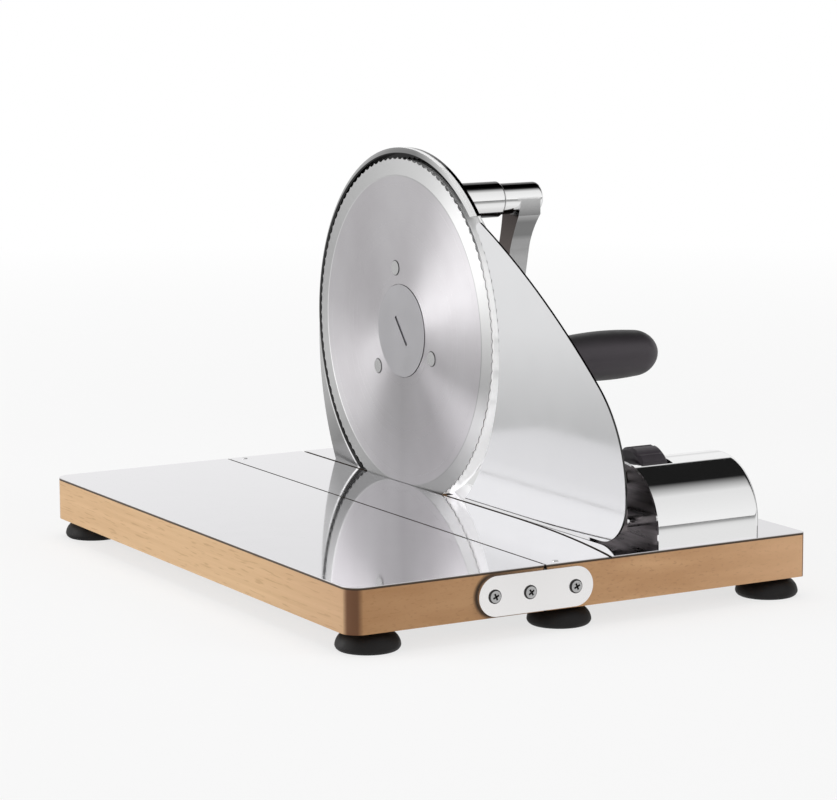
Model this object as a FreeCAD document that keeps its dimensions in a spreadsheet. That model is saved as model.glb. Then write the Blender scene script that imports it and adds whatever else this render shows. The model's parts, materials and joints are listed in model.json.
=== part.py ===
"""Hand crank bread slicer: a folding board, a round serrated blade driven by a crank through a
gear pair, and a stop plate that a threaded wheel sets. Millimetres, Z up, the operator at -Y."""
import FreeCAD, Part
import math
import os
import re
import Sketcher

# Driving dimensions. X runs across the board, Y to the back, Z up from the floor.
# Positions are measured from the middle of the board, and the frame is moved at the end.
SIZES = {
    # Board, steel sheets and feet
    "base_width": 264,
    "base_depth": 346,
    "board_thickness": 22,
    "sheet_thickness": 1,
    "joint_x": -24,
    "joint_gap": 1.2,
    "leaf_corner_radius": 9,
    "machine_corner_radius": 2.5,
    "strip_edge_x": 24.5,
    "strip_curve_start_y": -60,
    "strip_curve_radius": 540,
    "table_gap": 2,
    "slot_width": 6.4,
    "slot_half_length": 46,
    "slot_depth": 14,
    "strip_rivet_x": -15,
    "strip_rivet_edge": 5,
    "strip_rivet_radius": 1.6,
    "strip_rivet_depth": 4,
    "strip_rivet_stand": 0.2,
    "foot_height": 10.5,
    "foot_radius": 16,
    "foot_top_radius": 8.5,
    "foot_collar_height": 1.3,
    "foot_collar_radius": 4.6,
    "foot_hollow_radius": 12,
    "foot_hollow_depth": 3,
    "foot_hollow_curve": 20,
    "foot_side_curve": 7.5,
    "foot_lip_inset": 1.6,
    "foot_lip_height": 2.2,
    "foot_lip_curve": 3,
    "foot_seat_depth": 4,
    "foot_inset_x": 17.5,
    "foot_right_inset_x": 13.5,
    "foot_inset_y": 14.5,
    "foot_middle_x": -7,
    "foot_screw_radius": 2,
    "foot_screw_depth": 8,
    "foot_screw_head_height": 2,
    "foot_screw_head_gap": 0.4,
    # Fold of the leaf: link plates and their screws
    "pivot_offset": 16,
    "link_length": 64.8,
    "link_height": 20,
    "link_thickness": 2.5,
    "link_hole_clearance": 0.1,
    "link_screw_near": 26,
    "link_screw_far": 46,
    "link_screw_radius": 2,
    "link_screw_head_radius": 3.5,
    "link_screw_head_height": 1.2,
    "link_screw_depth": 16,
    "cove_clearance": 0.35,
    # Blade and what turns with it
    "blade_front_x": 25,
    "blade_y": 54,
    "blade_axis_height": 84.6,
    "blade_radius": 95,
    "blade_thickness": 1.4,
    "blade_bore_radius": 7,
    "bevel_inner_radius": 85.6,
    "blade_edge_thickness": 0.5,
    "serrations": 112,
    "serration_depth": 1,
    "rivet_circle_radius": 34.8,
    "rivet_angle": 10.5,
    "rivet_head_radius": 3.85,
    "rivet_head_height": 0.4,
    "rivet_shank_radius": 2.5,
    "lock_radius": 25.5,
    "lock_thickness": 1.2,
    "lock_recess": 0.9,
    "lock_recess_clearance": 0.3,
    "lock_slot_length": 19.3,
    "lock_slot_width": 2,
    "lock_slot_depth": 0.7,
    "lock_slot_angle": 50,
    "lock_shank_length": 5.4,
    "axle_radius": 6,
    "axle_nut_radius": 9,
    "axle_nut_thickness": 6,
    "axle_thread": 3,
    "axle_front_gap": 0.6,
    "thrust_washer_radius": 11,
    "thrust_washer_thickness": 1.2,
    "running_clearance": 0.05,
    "end_clearance": 0.1,
    # Gear pair
    "gear_module": 1.5,
    "gear_teeth": 85,
    "pinion_teeth": 16,
    "gear_face_width": 6,
    "gear_backlash": 0.16,
    "gear_web_thickness": 3.2,
    "gear_rim_thickness": 6,
    "gear_hub_radius": 13,
    "pinion_hub_wall": 3.2,
    "gear_from_blade": 2.1,
    "crank_lean": 18.3,
    # Housing of the gears, with the crank's boss
    "housing_from_blade": 1.1,
    "housing_radius": 94,
    "housing_wall": 2.5,
    "housing_depth": 15.5,
    "housing_round": 12,
    "boss_radius": 9.8,
    "boss_root_radius": 12,
    "boss_root_length": 5,
    "boss_length": 29,
    "boss_chamfer": 1,
    "bush_radius": 7.5,
    "bush_length": 12,
    "axle_boss_radius": 14,
    "axle_boss_length": 4,
    "flange_depth": 23,
    "flange_half_length": 48,
    "flange_thickness": 4,
    "gusset_thickness": 5,
    "gusset_height": 45,
    "gusset_y": 24,
    "gusset_inset": 5,
    "flange_screw_inset": 7,
    "flange_inner_screw_y": 10,
    "base_screw_radius": 2,
    "base_screw_head_radius": 3.8,
    "base_screw_head_height": 2.4,
    "base_screw_depth": 16,
    # Blade guard
    "guard_lead": 2.2,
    "guard_inner_radius": 97.3,
    "guard_outer_radius": 100.4,
    "guard_thickness": 4.8,
    "guard_reach_ratio": 1.6,
    "guard_tip_angle": 136.5,
    "guard_tip_slant": 1,
    "guard_middle_angle": 40,
    "guard_flare_angle": -4,
    "guard_foot_outer_y": 140.5,
    "guard_flare_radius": 150,
    "guard_slope": 0.12,
    "guard_lip": 2,
    "guard_web_thickness": 2,
    "guard_web_end_angle": 128,
    "guard_web_start_angle": -25,
    "guard_web_sector": 50,
    "guard_foot_length": 22,
    "guard_foot_width": 18,
    "guard_foot_thickness": 3,
    "guard_foot_inset": 2,
    "guard_screw_near": 6,
    "guard_screw_far": 16,
    # Crank
    "shaft_radius": 5,
    "crank_length": 91.5,
    "washer_thickness": 0.5,
    "washer_gap": 0.05,
    "hub_radius": 8.5,
    "hub_length": 25,
    "hub_round": 3,
    "hub_floor": 4,
    "arm_top_thickness": 15,
    "arm_low_width": 12.4,
    "arm_low_thickness": 12.2,
    "arm_neck_drop": 9,
    "arm_knee_drop": 27,
    "arm_knee_in": 8.9,
    "arm_bend_radius": 62,
    "arm_taper_radius": 90,
    "eye_radius": 8,
    "eye_thickness": 10,
    "eye_in": 17.6,
    "set_screw_radius": 2.5,
    "set_screw_from_start": 5,
    "set_screw_sink": 0.6,
    # Grip
    "grip_length": 93.8,
    "grip_radius": 14,
    "grip_neck_radius": 9.5,
    "grip_end_round": 16,
    "grip_swell": 1,
    "grip_cap_radius": 6,
    "grip_cap_height": 2,
    "grip_cap_round": 10,
    "spindle_radius": 4,
    "spindle_collar_radius": 6.5,
    "spindle_collar_length": 2.5,
    "spindle_head_radius": 5.1,
    "spindle_head_length": 3,
    "grip_counterbore_radius": 5.4,
    "grip_counterbore_depth": 12,
    "grip_cap_plug": 6,
    # Stop plate and its slide
    "stop_setting": 3,
    "stop_thickness": 1.2,
    "stop_floor_gap": 0.9,
    "stop_inner_radius": 107.2,
    "stop_inner_offset_y": 9,
    "stop_inner_offset_z": -4,
    "stop_tip_height": 150.6,
    "stop_tip_drop": 3,
    "stop_tip_reach": 4.4,
    "stop_tip_round": 3.33,
    "stop_brow_radius": 530,
    "stop_brow_end_height": 78.4,
    "stop_nose_radius": 70,
    "stop_front_inset": 8.7,
    "stop_nose_height": 27,
    "stop_corner_radius": 22,
    "carrier_thickness": 4,
    "carrier_half_length": 19.5,
    "carrier_low": 8,
    "carrier_high": 19,
    "carrier_lug_radius": 6,
    "rod_spacing": 15,
    "rod_height": 12,
    "rod_radius": 3,
    "rod_end_x": 84,
    "rod_bush_radius": 5,
    "rod_bush_length": 22.5,
    "spindle_thread_radius": 3.5,
    "spindle_end_x": 80,
    "spindle_hole_clearance": 1,
    # Barrel cover over the adjuster
    "barrel_start_x": 43.5,
    "barrel_length": 62.2,
    "barrel_radius": 32,
    "barrel_wall": 1.2,
    "barrel_inset": 34,
    "barrel_axis_height": 7.6,
    "barrel_end_recess": 2.5,
    "barrel_end_round": 4,
    "barrel_end_gap": 0.1,
    "barrel_flange_width": 8,
    "barrel_flange_length": 30,
    "barrel_screw_radius": 1.5,
    "barrel_screw_head_radius": 3.5,
    "barrel_screw_head_height": 2,
    "barrel_screw_near": 7,
    "barrel_screw_far": 23,
    # Thickness wheel and its bracket
    "wheel_radius": 15,
    "wheel_width": 16.5,
    "wheel_height": 30.4,
    "wheel_offset": 4.2,
    "wheel_flutes": 12,
    "wheel_flute_radius": 3,
    "wheel_flute_depth": 0.7,
    "wheel_chamfer": 1.5,
    "wheel_clearance": 1.2,
    "wheel_side_gap": 0.3,
    "insert_radius": 5.5,
    "bracket_left_thickness": 1.5,
    "bracket_right_thickness": 2.5,
    "bracket_half_length": 26,
    "bracket_base_thickness": 2.5,
    "bracket_clearance": 0.6,
    "bracket_screw_spacing": 14,
    # How far a cutting tool reaches past a face, and how far joined forms overlap
    "past": 1,
}

# Places and sizes that follow from the driving dimensions, as formulas of their names.
DERIVED = {
    "half_width": "base_width / 2",
    "half_depth": "base_depth / 2",
    "board_top": "foot_height + board_thickness",
    "table_top": "foot_height + board_thickness + sheet_thickness",
    "leaf_right": "joint_x - joint_gap / 2",
    "machine_left": "joint_x + joint_gap / 2",
    "foot_left_x": "foot_inset_x - half_width",
    "foot_right_x": "half_width - foot_right_inset_x",
    "foot_y": "half_depth - foot_inset_y",
    "foot_body_top": "foot_height - foot_collar_height",
    "foot_screw_seat": "foot_body_top - foot_seat_depth",
    "foot_screw_low": "foot_screw_seat - foot_screw_head_height",
    "foot_screw_head": "foot_collar_radius - foot_screw_head_gap",
    "pivot_x": "joint_x + pivot_offset",
    "pivot_z": "foot_height + board_thickness / 2",
    "cove_radius": "sqrt((pivot_x - machine_left)^2 + (table_top - pivot_z)^2) + cove_clearance",
    "link_radius": "link_height / 2",
    "slot_left_x": "strip_edge_x",
    "slot_right_x": "strip_edge_x + slot_width",
    "slot_front_y": "blade_y - slot_half_length",
    "slot_back_y": "blade_y + slot_half_length",
    "strip_centre_x": "strip_edge_x - strip_curve_radius",
    "strip_run": "half_depth + strip_curve_start_y",
    "strip_front_x": "strip_centre_x + sqrt(strip_curve_radius^2 - strip_run^2)",
    "side_curve_radius": "strip_curve_radius + table_gap",
    "side_left_x": "strip_edge_x + table_gap",
    "side_front_x": "strip_centre_x + sqrt(side_curve_radius^2 - strip_run^2)",
    "blade_z": "table_top + blade_axis_height",
    "blade_back_x": "blade_front_x + blade_thickness",
    "gear_centres": "gear_module * (pinion_teeth + gear_teeth) / 2",
    "gear_front_x": "blade_back_x + gear_from_blade",
    "gear_back_x": "gear_front_x + gear_face_width",
    "crank_y": "blade_y - gear_centres * sin(crank_lean)",
    "crank_z": "blade_z + gear_centres * cos(crank_lean)",
    "housing_front_x": "blade_back_x + housing_from_blade",
    "housing_back_x": "housing_front_x + housing_depth",
    "housing_inside_x": "housing_back_x - housing_wall",
    "housing_round_x": "housing_back_x - housing_round",
    "housing_flat_radius": "housing_radius - housing_round",
    "housing_bore_radius": "housing_radius - housing_wall",
    "gear_hub_end_x": "housing_inside_x - thrust_washer_thickness - 2 * end_clearance",
    "lock_end_x": "blade_front_x + lock_shank_length",
    "axle_front_x": "lock_end_x + axle_front_gap",
    "lock_seat_x": "blade_front_x + lock_recess",
    "axle_boss_end_x": "housing_back_x + axle_boss_length",
    "axle_nut_end_x": "axle_boss_end_x + axle_nut_thickness",
    "boss_end_x": "housing_back_x + boss_length",
    "hub_start_x": "boss_end_x + washer_thickness + 2 * washer_gap",
    "hub_end_x": "hub_start_x + hub_length",
    "shaft_end_x": "hub_end_x - hub_floor",
    "bush_bore_radius": "shaft_radius + running_clearance",
    "flange_end_x": "housing_back_x + flange_depth",
    "flange_top": "table_top + flange_thickness",
    "guard_front_x": "blade_front_x + guard_lead",
    "guard_reach": "guard_reach_ratio * guard_outer_radius",
    "guard_back_x": "guard_front_x + guard_thickness",
    "guard_inner_foot_y": "blade_y + sqrt(guard_inner_radius^2 - blade_axis_height^2)",
    "guard_foot_end_x": "guard_back_x + guard_foot_length",
    "guard_foot_y": "guard_foot_outer_y - guard_foot_width / 2 - guard_foot_inset",
    "eye_end_x": "hub_end_x - eye_in",
    "eye_start_x": "eye_end_x - eye_thickness",
    "eye_z": "crank_z - crank_length",
    "grip_start_x": "eye_end_x + spindle_collar_length + end_clearance",
    "grip_end_x": "grip_start_x + grip_length",
    "grip_face_x": "grip_end_x - grip_cap_height",
    "grip_waist_x": "grip_end_x - 4 * grip_radius",
    "grip_belly_half": "1.5 * grip_radius",
    "grip_belly_round": "(grip_belly_half^2 + grip_swell^2) / (2 * grip_swell)",
    "grip_seat_x": "grip_face_x - grip_counterbore_depth",
    "spindle_head_x": "grip_seat_x + end_clearance",
    "stop_x": "blade_front_x + stop_setting",
    "stop_back_x": "stop_x + stop_thickness",
    "stop_low": "table_top + stop_floor_gap",
    "stop_centre_y": "blade_y + stop_inner_offset_y",
    "stop_centre_z": "blade_z + stop_inner_offset_z",
    "stop_tip_z": "table_top + stop_tip_height",
    "stop_inner_top_z": "stop_tip_z - stop_tip_drop",
    "stop_inner_top_y":
        "stop_centre_y - sqrt(stop_inner_radius^2 - (stop_inner_top_z - stop_centre_z)^2)",
    "stop_inner_low_y": "stop_centre_y - sqrt(stop_inner_radius^2 - (stop_low - stop_centre_z)^2)",
    "stop_tip_y": "stop_inner_top_y - stop_tip_reach",
    "stop_front_y": "stop_front_inset - half_depth",
    "carrier_end_x": "stop_back_x + carrier_thickness",
    "barrel_y": "barrel_inset - half_depth",
    "barrel_end_x": "barrel_start_x + barrel_length",
    "barrel_z": "table_top + barrel_axis_height",
    "barrel_inner_radius": "barrel_radius - barrel_wall",
    "barrel_plate_radius": "barrel_inner_radius - barrel_end_gap",
    "barrel_left_x": "barrel_start_x + barrel_end_recess",
    "barrel_left_end_x": "barrel_left_x + barrel_wall",
    "barrel_inner_end_x": "barrel_end_x - barrel_wall",
    "barrel_flange_end_x": "barrel_end_x - barrel_end_round",
    "barrel_flange_x": "barrel_flange_end_x - barrel_flange_length",
    "wheel_y": "barrel_y + wheel_offset",
    "wheel_z": "table_top + wheel_height",
    "wheel_start_x": "barrel_left_end_x + bracket_left_thickness + wheel_side_gap",
    "wheel_end_x": "wheel_start_x + wheel_width",
    "bracket_right_x": "wheel_end_x + wheel_side_gap",
    "bracket_end_x": "bracket_right_x + bracket_right_thickness",
    "bracket_radius": "barrel_inner_radius - bracket_clearance",
    "insert_start_x": "barrel_left_end_x",
    "rod_z": "table_top + rod_height",
    "origin_shift": "(half_width - grip_end_x) / 2",
}

doc = FreeCAD.newDocument("BreadSlicer")
sheet = doc.addObject("Spreadsheet::Sheet", "Sizes")
nodes = {}


def fill_sheet():
    """Put each driving dimension in the sheet, with its name as the cell's alias."""
    for row, (name, size) in enumerate(SIZES.items(), start=1):
        sheet.set(f"A{row}", name)
        sheet.set(f"B{row}", str(size))
        sheet.setAlias(f"B{row}", name)
    doc.recompute()


def bound(formula):
    """Write a formula of dimension names as an expression of the sheet's cells."""
    def cell(match):
        word = match.group(0)
        if word in SIZES:
            return f"Sizes.{word}"
        if word in DERIVED:
            return f"({bound(DERIVED[word])})"
        return word
    return re.sub(r"[A-Za-z_]\w*", cell, str(formula))


def value(formula):
    """Work out a formula of dimension names in millimetres or degrees."""
    return float(sheet.evalExpression(bound(formula)))


def bind(thing, **formulas):
    """Bind properties of an object to formulas."""
    for name, formula in formulas.items():
        thing.setExpression(name, bound(formula))


def place(thing, x="0", y="0", z="0"):
    """Bind where an object stands."""
    for letter, formula in zip("xyz", (x, y, z)):
        thing.setExpression(f"Placement.Base.{letter}", bound(formula))


def polar(radius, angle, centre_y="blade_y", centre_z="blade_z"):
    """A point at a radius and an angle from +Y towards +Z, by default about the blade's axis."""
    return (f"{centre_y} + ({radius}) * cos({angle})", f"{centre_z} + ({radius}) * sin({angle})")


def box(x, y, z):
    """A block between two formulas along each axis."""
    block = doc.addObject("Part::Box", "Block")
    for name, (low, high) in (("Length", x), ("Width", y), ("Height", z)):
        block.setExpression(name, bound(f"({high}) - ({low})"))
    place(block, x[0], y[0], z[0])
    return block


def rod(axis, radius, low, high, across, up):
    """A cylinder along X, Y or Z; across and up place its axis in the order of the letters."""
    cylinder = doc.addObject("Part::Cylinder", "Rod")
    bind(cylinder, Radius=radius, Height=f"({high}) - ({low})")
    turn = {
        "X": FreeCAD.Rotation(FreeCAD.Vector(0, 1, 0), 90),
        "Y": FreeCAD.Rotation(FreeCAD.Vector(1, 0, 0), -90),
        "Z": FreeCAD.Rotation(),
    }
    cylinder.Placement = FreeCAD.Placement(FreeCAD.Vector(), turn[axis])
    where = {"X": (low, across, up), "Y": (across, low, up), "Z": (across, up, low)}
    place(cylinder, *where[axis])
    return cylinder


def fuse(*shapes):
    """One solid from several that touch or overlap."""
    whole = doc.addObject("Part::MultiFuse", "Joined")
    whole.Shapes = list(shapes)
    return whole


def cut(base, *tools):
    """A solid less each of the tools."""
    for tool in tools:
        less = doc.addObject("Part::Cut", "Less")
        less.Base = base
        less.Tool = tool
        base = less
    return base


def common(base, tool):
    """What two solids share."""
    shared = doc.addObject("Part::Common", "Shared")
    shared.Base = base
    shared.Tool = tool
    return shared


def group(*shapes):
    """Separate solids that share a node, such as identical screws."""
    several = doc.addObject("Part::Compound", "Group")
    several.Links = list(shapes)
    return several


def node(label, thing):
    """Name a sub-part and move it into the part's frame."""
    old = dict(thing.ExpressionEngine)
    start = old.get(".Placement.Base.x", old.get("Placement.Base.x", "0"))
    thing.setExpression("Placement.Base.x", f"{start} + {bound('origin_shift')}")
    thing.Label = label
    nodes[label] = thing


def start_sketch(plane, across="0", up="0", along="0"):
    """A body with an empty sketch on one of its planes, moved by three formulas."""
    body = doc.addObject("PartDesign::Body", "Body")
    sketch = body.newObject("Sketcher::SketchObject", "Sketch")
    role = f"{plane}_Plane"
    origin_plane = next(item for item in body.Origin.OriginFeatures if item.Role == role)
    sketch.AttachmentSupport = [(origin_plane, "")]
    sketch.MapMode = "FlatFace"
    side = "-1 * " if plane == "XZ" else ""
    sketch.setExpression("AttachmentOffset.Base.x", bound(across))
    sketch.setExpression("AttachmentOffset.Base.y", bound(up))
    sketch.setExpression("AttachmentOffset.Base.z", f"{side}({bound(along)})")
    return body, sketch


def arc_through(start, end, radius):
    """An arc of a signed radius: positive bulges to the right of the way from start to end."""
    if radius < 0:
        start, end = end, start
    size = abs(radius)
    chord = end - start
    half = chord.Length / 2
    left = FreeCAD.Vector(-chord.y, chord.x, 0).normalize()
    centre = (start + end) / 2 + left * math.sqrt(size * size - half * half)
    angles = [math.atan2(point.y - centre.y, point.x - centre.x) for point in (start, end)]
    return Part.ArcOfCircle(Part.Circle(centre, FreeCAD.Vector(0, 0, 1), size), *angles)


def trace(sketch, path):
    """Draw a closed outline. Each corner is (across, up) or (across, up, radius of the next edge)."""
    points = [FreeCAD.Vector(value(corner[0]), value(corner[1]), 0) for corner in path]
    radii = [corner[2] if len(corner) > 2 else None for corner in path]
    first = sketch.GeometryCount
    for index, radius in enumerate(radii):
        start = points[index]
        end = points[(index + 1) % len(points)]
        if radius is None:
            sketch.addGeometry(Part.LineSegment(start, end))
        else:
            sketch.addGeometry(arc_through(start, end, value(radius)))
    hollow = [radius is not None and value(radius) < 0 for radius in radii]
    ends = [(2, 1) if backward else (1, 2) for backward in hollow]
    for index in range(len(points)):
        after = (index + 1) % len(points)
        sketch.addConstraint(Sketcher.Constraint(
            "Coincident", first + index, ends[index][1], first + after, ends[after][0]))
        for kind, formula in zip(("DistanceX", "DistanceY"), path[index][:2]):
            number = sketch.addConstraint(Sketcher.Constraint(
                kind, -1, 1, first + index, ends[index][0], value(formula)))
            sketch.setExpression(f"Constraints[{number}]", bound(formula))
        if radii[index] is not None:
            size = radii[index].lstrip("-")
            number = sketch.addConstraint(Sketcher.Constraint("Radius", first + index, value(size)))
            sketch.setExpression(f"Constraints[{number}]", bound(size))


def pad(plane, low, high, path):
    """A flat piece: an outline on XY, XZ or YZ, thick from low to high along the third axis."""
    along = high if plane == "XZ" else low
    body, sketch = start_sketch(plane, along=along)
    trace(sketch, path)
    plate = body.newObject("PartDesign::Pad", "Pad")
    plate.Profile = sketch
    bind(plate, Length=f"({high}) - ({low})")
    return body


def turned(axis, path, centre):
    """A turned piece. Its half outline is (along, radius) for X, and (radius, along) for Z."""
    if axis == "X":
        body, sketch = start_sketch("XZ", up=centre[1], along=centre[0])
    else:
        body, sketch = start_sketch("XZ", across=centre[0], along=centre[1])
    trace(sketch, path)
    solid = body.newObject("PartDesign::Revolution", "Turned")
    solid.Profile = sketch
    solid.ReferenceAxis = (sketch, ["V_Axis" if axis == "Z" else "H_Axis"])
    return body


def built(shape, name="Shape"):
    """An object whose shape is worked out from the sheet, for outlines of many teeth."""
    made = doc.addObject("Part::Feature", name)
    made.Shape = shape
    return made


def screw(axis, shank, head, head_height, face, depth, across, up, outward=1):
    """A round-headed screw: its head stands on a face and its shank goes into the piece."""
    if outward > 0:
        head_span = (face, f"({face}) + {head_height}")
        shank_span = (f"({face}) - {depth}", face)
    else:
        head_span = (f"({face}) - {head_height}", face)
        shank_span = (face, f"({face}) + {depth}")
    return fuse(rod(axis, head, *head_span, across, up), rod(axis, shank, *shank_span, across, up))


# Board, sheets and feet


def leaf_outline():
    """The leaf from above, with its two rounded corners."""
    left = "-half_width"
    rounded = "leaf_corner_radius"
    return [
        ("leaf_right", "-half_depth"),
        ("leaf_right", "half_depth"),
        (f"{left} + {rounded}", "half_depth", rounded),
        (left, f"half_depth - {rounded}"),
        (left, f"{rounded} - half_depth", rounded),
        (f"{left} + {rounded}", "-half_depth"),
    ]


def leaf_board():
    """The folding leaf. A cove along its joint lets it swing past the machine board's corner."""
    wood = pad("XY", "foot_height", "board_top", leaf_outline())
    cove = rod("Y", "cove_radius", "-half_depth - past", "half_depth + past", "pivot_x", "pivot_z")
    holes = [rod("Z", "foot_screw_radius", "foot_height - past", "foot_height + foot_screw_depth",
                 "foot_left_x", f"{side} * foot_y") for side in (-1, 1)]
    for distance in ("link_screw_near", "link_screw_far"):
        for side in (-1, 1):
            holes.append(link_hole(distance, side))
    node("leaf_board", cut(wood, cove, *holes))
    node("leaf_table_plate", pad("XY", "board_top", "table_top", leaf_outline()))


def link_hole(distance, side):
    """The hole of a link plate's screw in the edge of a board."""
    low, high = "half_depth - link_screw_depth", "half_depth + past"
    if side < 0:
        low, high = f"-({high})", f"-({low})"
    return rod("Y", "link_screw_radius", low, high, f"pivot_x - {distance}", "pivot_z")


def machine_board():
    """The fixed board, with the blade's slot and the holes of all its screws."""
    corner = "machine_corner_radius"
    wood = pad("XY", "foot_height", "board_top", [
        ("machine_left", "-half_depth"),
        (f"half_width - {corner}", "-half_depth", corner),
        ("half_width", f"{corner} - half_depth"),
        ("half_width", f"half_depth - {corner}", corner),
        (f"half_width - {corner}", "half_depth"),
        ("machine_left", "half_depth"),
    ])
    slot = box(("slot_left_x", "slot_right_x"), ("slot_front_y", "slot_back_y"),
               ("board_top - slot_depth", "board_top + past"))
    holes = [rod("Z", "foot_screw_radius", "foot_height - past", "foot_height + foot_screw_depth", x,
                 f"{side} * foot_y") for x in ("foot_middle_x", "foot_right_x") for side in (-1, 1)]
    holes += [link_hole("0", side) for side in (-1, 1)]
    holes += [base_hole(x, y) for x, y in base_screw_places()]
    holes += [barrel_hole(x, y) for x, y in barrel_screw_places()]
    holes += [barrel_head_hole(x, y) for x, y in barrel_screw_places()]
    holes += strip_rivet_rods("board_top - strip_rivet_depth", "board_top + past")
    node("machine_board", cut(wood, slot, *holes))


def base_hole(x, y, top="board_top + past"):
    """The hole of a screw that goes down into the board."""
    return rod("Z", "base_screw_radius", "table_top - base_screw_depth", top, x, y)


def barrel_hole(x, y):
    """The hole of a screw that comes up through the board into the barrel cover."""
    return rod("Z", "barrel_screw_radius", "foot_height - past", "table_top + barrel_wall", x, y)


def barrel_head_hole(x, y):
    """The countersink in the board's underside for that screw's head."""
    return rod("Z", "barrel_screw_head_radius", "foot_height - past",
               "foot_height + barrel_screw_head_height", x, y)


def strip_rivet_rods(low, high):
    """The shanks of the rivets that hold the strip sheet near the joint."""
    return [rod("Z", "strip_rivet_radius", low, high, "strip_rivet_x",
                f"{side} * (half_depth - strip_rivet_edge)") for side in (-1, 1)]


def table_strip_plate():
    """The sheet left of the blade, straight beside the blade and curved in towards the front."""
    sheet_metal = pad("XY", "board_top", "table_top", [
        ("machine_left", "-half_depth"),
        ("strip_front_x", "-half_depth", "strip_curve_radius"),
        ("strip_edge_x", "strip_curve_start_y"),
        ("strip_edge_x", "half_depth"),
        ("machine_left", "half_depth"),
    ])
    node("table_strip_plate", cut(sheet_metal, *strip_rivet_rods("board_top - past", "table_top + past")))
    node("strip_rivets", group(*strip_rivet_rods(
        "board_top - strip_rivet_depth", "table_top + strip_rivet_stand")))


def side_table_plate():
    """The sheet right of the blade. It follows the strip's edge at a gap and leaves the slot open."""
    corner = "machine_corner_radius"
    sheet_metal = pad("XY", "board_top", "table_top", [
        ("side_front_x", "-half_depth"),
        (f"half_width - {corner}", "-half_depth", corner),
        ("half_width", f"{corner} - half_depth"),
        ("half_width", f"half_depth - {corner}", corner),
        (f"half_width - {corner}", "half_depth"),
        ("side_left_x", "half_depth"),
        ("side_left_x", "slot_back_y"),
        ("slot_right_x", "slot_back_y"),
        ("slot_right_x", "slot_front_y"),
        ("side_left_x", "slot_front_y"),
        ("side_left_x", "strip_curve_start_y", "-side_curve_radius"),
    ])
    holes = [base_hole(x, y, "table_top + past") for x, y in base_screw_places()]
    holes += [barrel_hole(x, y) for x, y in barrel_screw_places()]
    node("side_table_plate", cut(sheet_metal, *holes))


def foot(label, x, side):
    """A rubber cup, hollow below, on the collar of its screw."""
    y = f"{side} * foot_y"
    rubber = turned("Z", [
        ("foot_hollow_radius", "0"),
        ("foot_radius - foot_lip_inset", "0", "foot_lip_curve"),
        ("foot_radius", "foot_lip_height", "foot_side_curve"),
        ("foot_top_radius", "foot_body_top"),
        ("foot_screw_radius", "foot_body_top"),
        ("foot_screw_radius", "foot_screw_seat"),
        ("foot_collar_radius", "foot_screw_seat"),
        ("foot_collar_radius", "foot_hollow_depth", "-foot_hollow_curve"),
    ], (x, y))
    node(label, rubber)


def foot_screw(x, side):
    """The screw of a foot: head in the hollow, collar between the rubber and the board."""
    y = f"{side} * foot_y"
    return turned("Z", [
        ("0", "foot_screw_low"),
        ("foot_screw_head", "foot_screw_low"),
        ("foot_screw_head", "foot_screw_seat"),
        ("foot_screw_radius", "foot_screw_seat"),
        ("foot_screw_radius", "foot_body_top"),
        ("foot_collar_radius", "foot_body_top"),
        ("foot_collar_radius", "foot_height"),
        ("foot_screw_radius", "foot_height"),
        ("foot_screw_radius", "foot_height + foot_screw_depth"),
        ("0", "foot_height + foot_screw_depth"),
    ], (x, y))


def feet():
    """Six feet: two under the leaf and four under the machine board."""
    rows = {"front": -1, "back": 1}
    columns = {"left": "foot_left_x", "middle": "foot_middle_x", "right": "foot_right_x"}
    for row, side in rows.items():
        for column, x in columns.items():
            foot(f"foot_{row}_{column}", x, side)
    node("leaf_foot_screws", group(*[foot_screw(columns["left"], side) for side in (-1, 1)]))
    node("machine_foot_screws", group(*[foot_screw(columns[column], side)
                                        for column in ("middle", "right") for side in (-1, 1)]))


# Links of the fold


def link_plate(label, side):
    """A flat bar with round ends on the boards' edges, with a running hole on the pivot screw."""
    near, far = "half_depth", "half_depth + link_thickness"
    if side < 0:
        near, far = f"-({far})", f"-({near})"
    right = "pivot_x + link_radius"
    left = f"{right} - link_length + link_radius"
    bar = pad("XZ", near, far, [
        (left, "pivot_z - link_radius"),
        ("pivot_x", "pivot_z - link_radius", "link_radius"),
        ("pivot_x + link_radius", "pivot_z", "link_radius"),
        ("pivot_x", "pivot_z + link_radius"),
        (left, "pivot_z + link_radius", "link_radius"),
        (f"{left} - link_radius", "pivot_z", "link_radius"),
    ])
    pivot = rod("Y", "link_screw_radius + link_hole_clearance", f"{near} - past", f"{far} + past",
                "pivot_x", "pivot_z")
    holes = [rod("Y", "link_screw_radius", f"{near} - past", f"{far} + past", f"pivot_x - {distance}",
                 "pivot_z") for distance in ("link_screw_near", "link_screw_far")]
    node(label, cut(bar, pivot, *holes))


def link_screw(distance, side, gap="0"):
    """A link plate's screw, its head on the plate's outer face or a small gap off it."""
    face = f"{side} * (half_depth + link_thickness + {gap})"
    depth = f"(link_screw_depth + link_thickness + {gap})"
    return screw("Y", "link_screw_radius", "link_screw_head_radius", "link_screw_head_height",
                 face, depth, f"pivot_x - {distance}", "pivot_z", outward=side)


def links():
    """Link plates front and back, with their fixed screws and the pivot screws."""
    link_plate("link_plate_front", -1)
    link_plate("link_plate_back", 1)
    fixed = [link_screw(distance, side) for distance in ("link_screw_near", "link_screw_far")
             for side in (-1, 1)]
    node("link_screws", group(*fixed))
    node("pivot_screws", group(*[link_screw("0", side, "end_clearance") for side in (-1, 1)]))


# Gear pair


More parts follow.
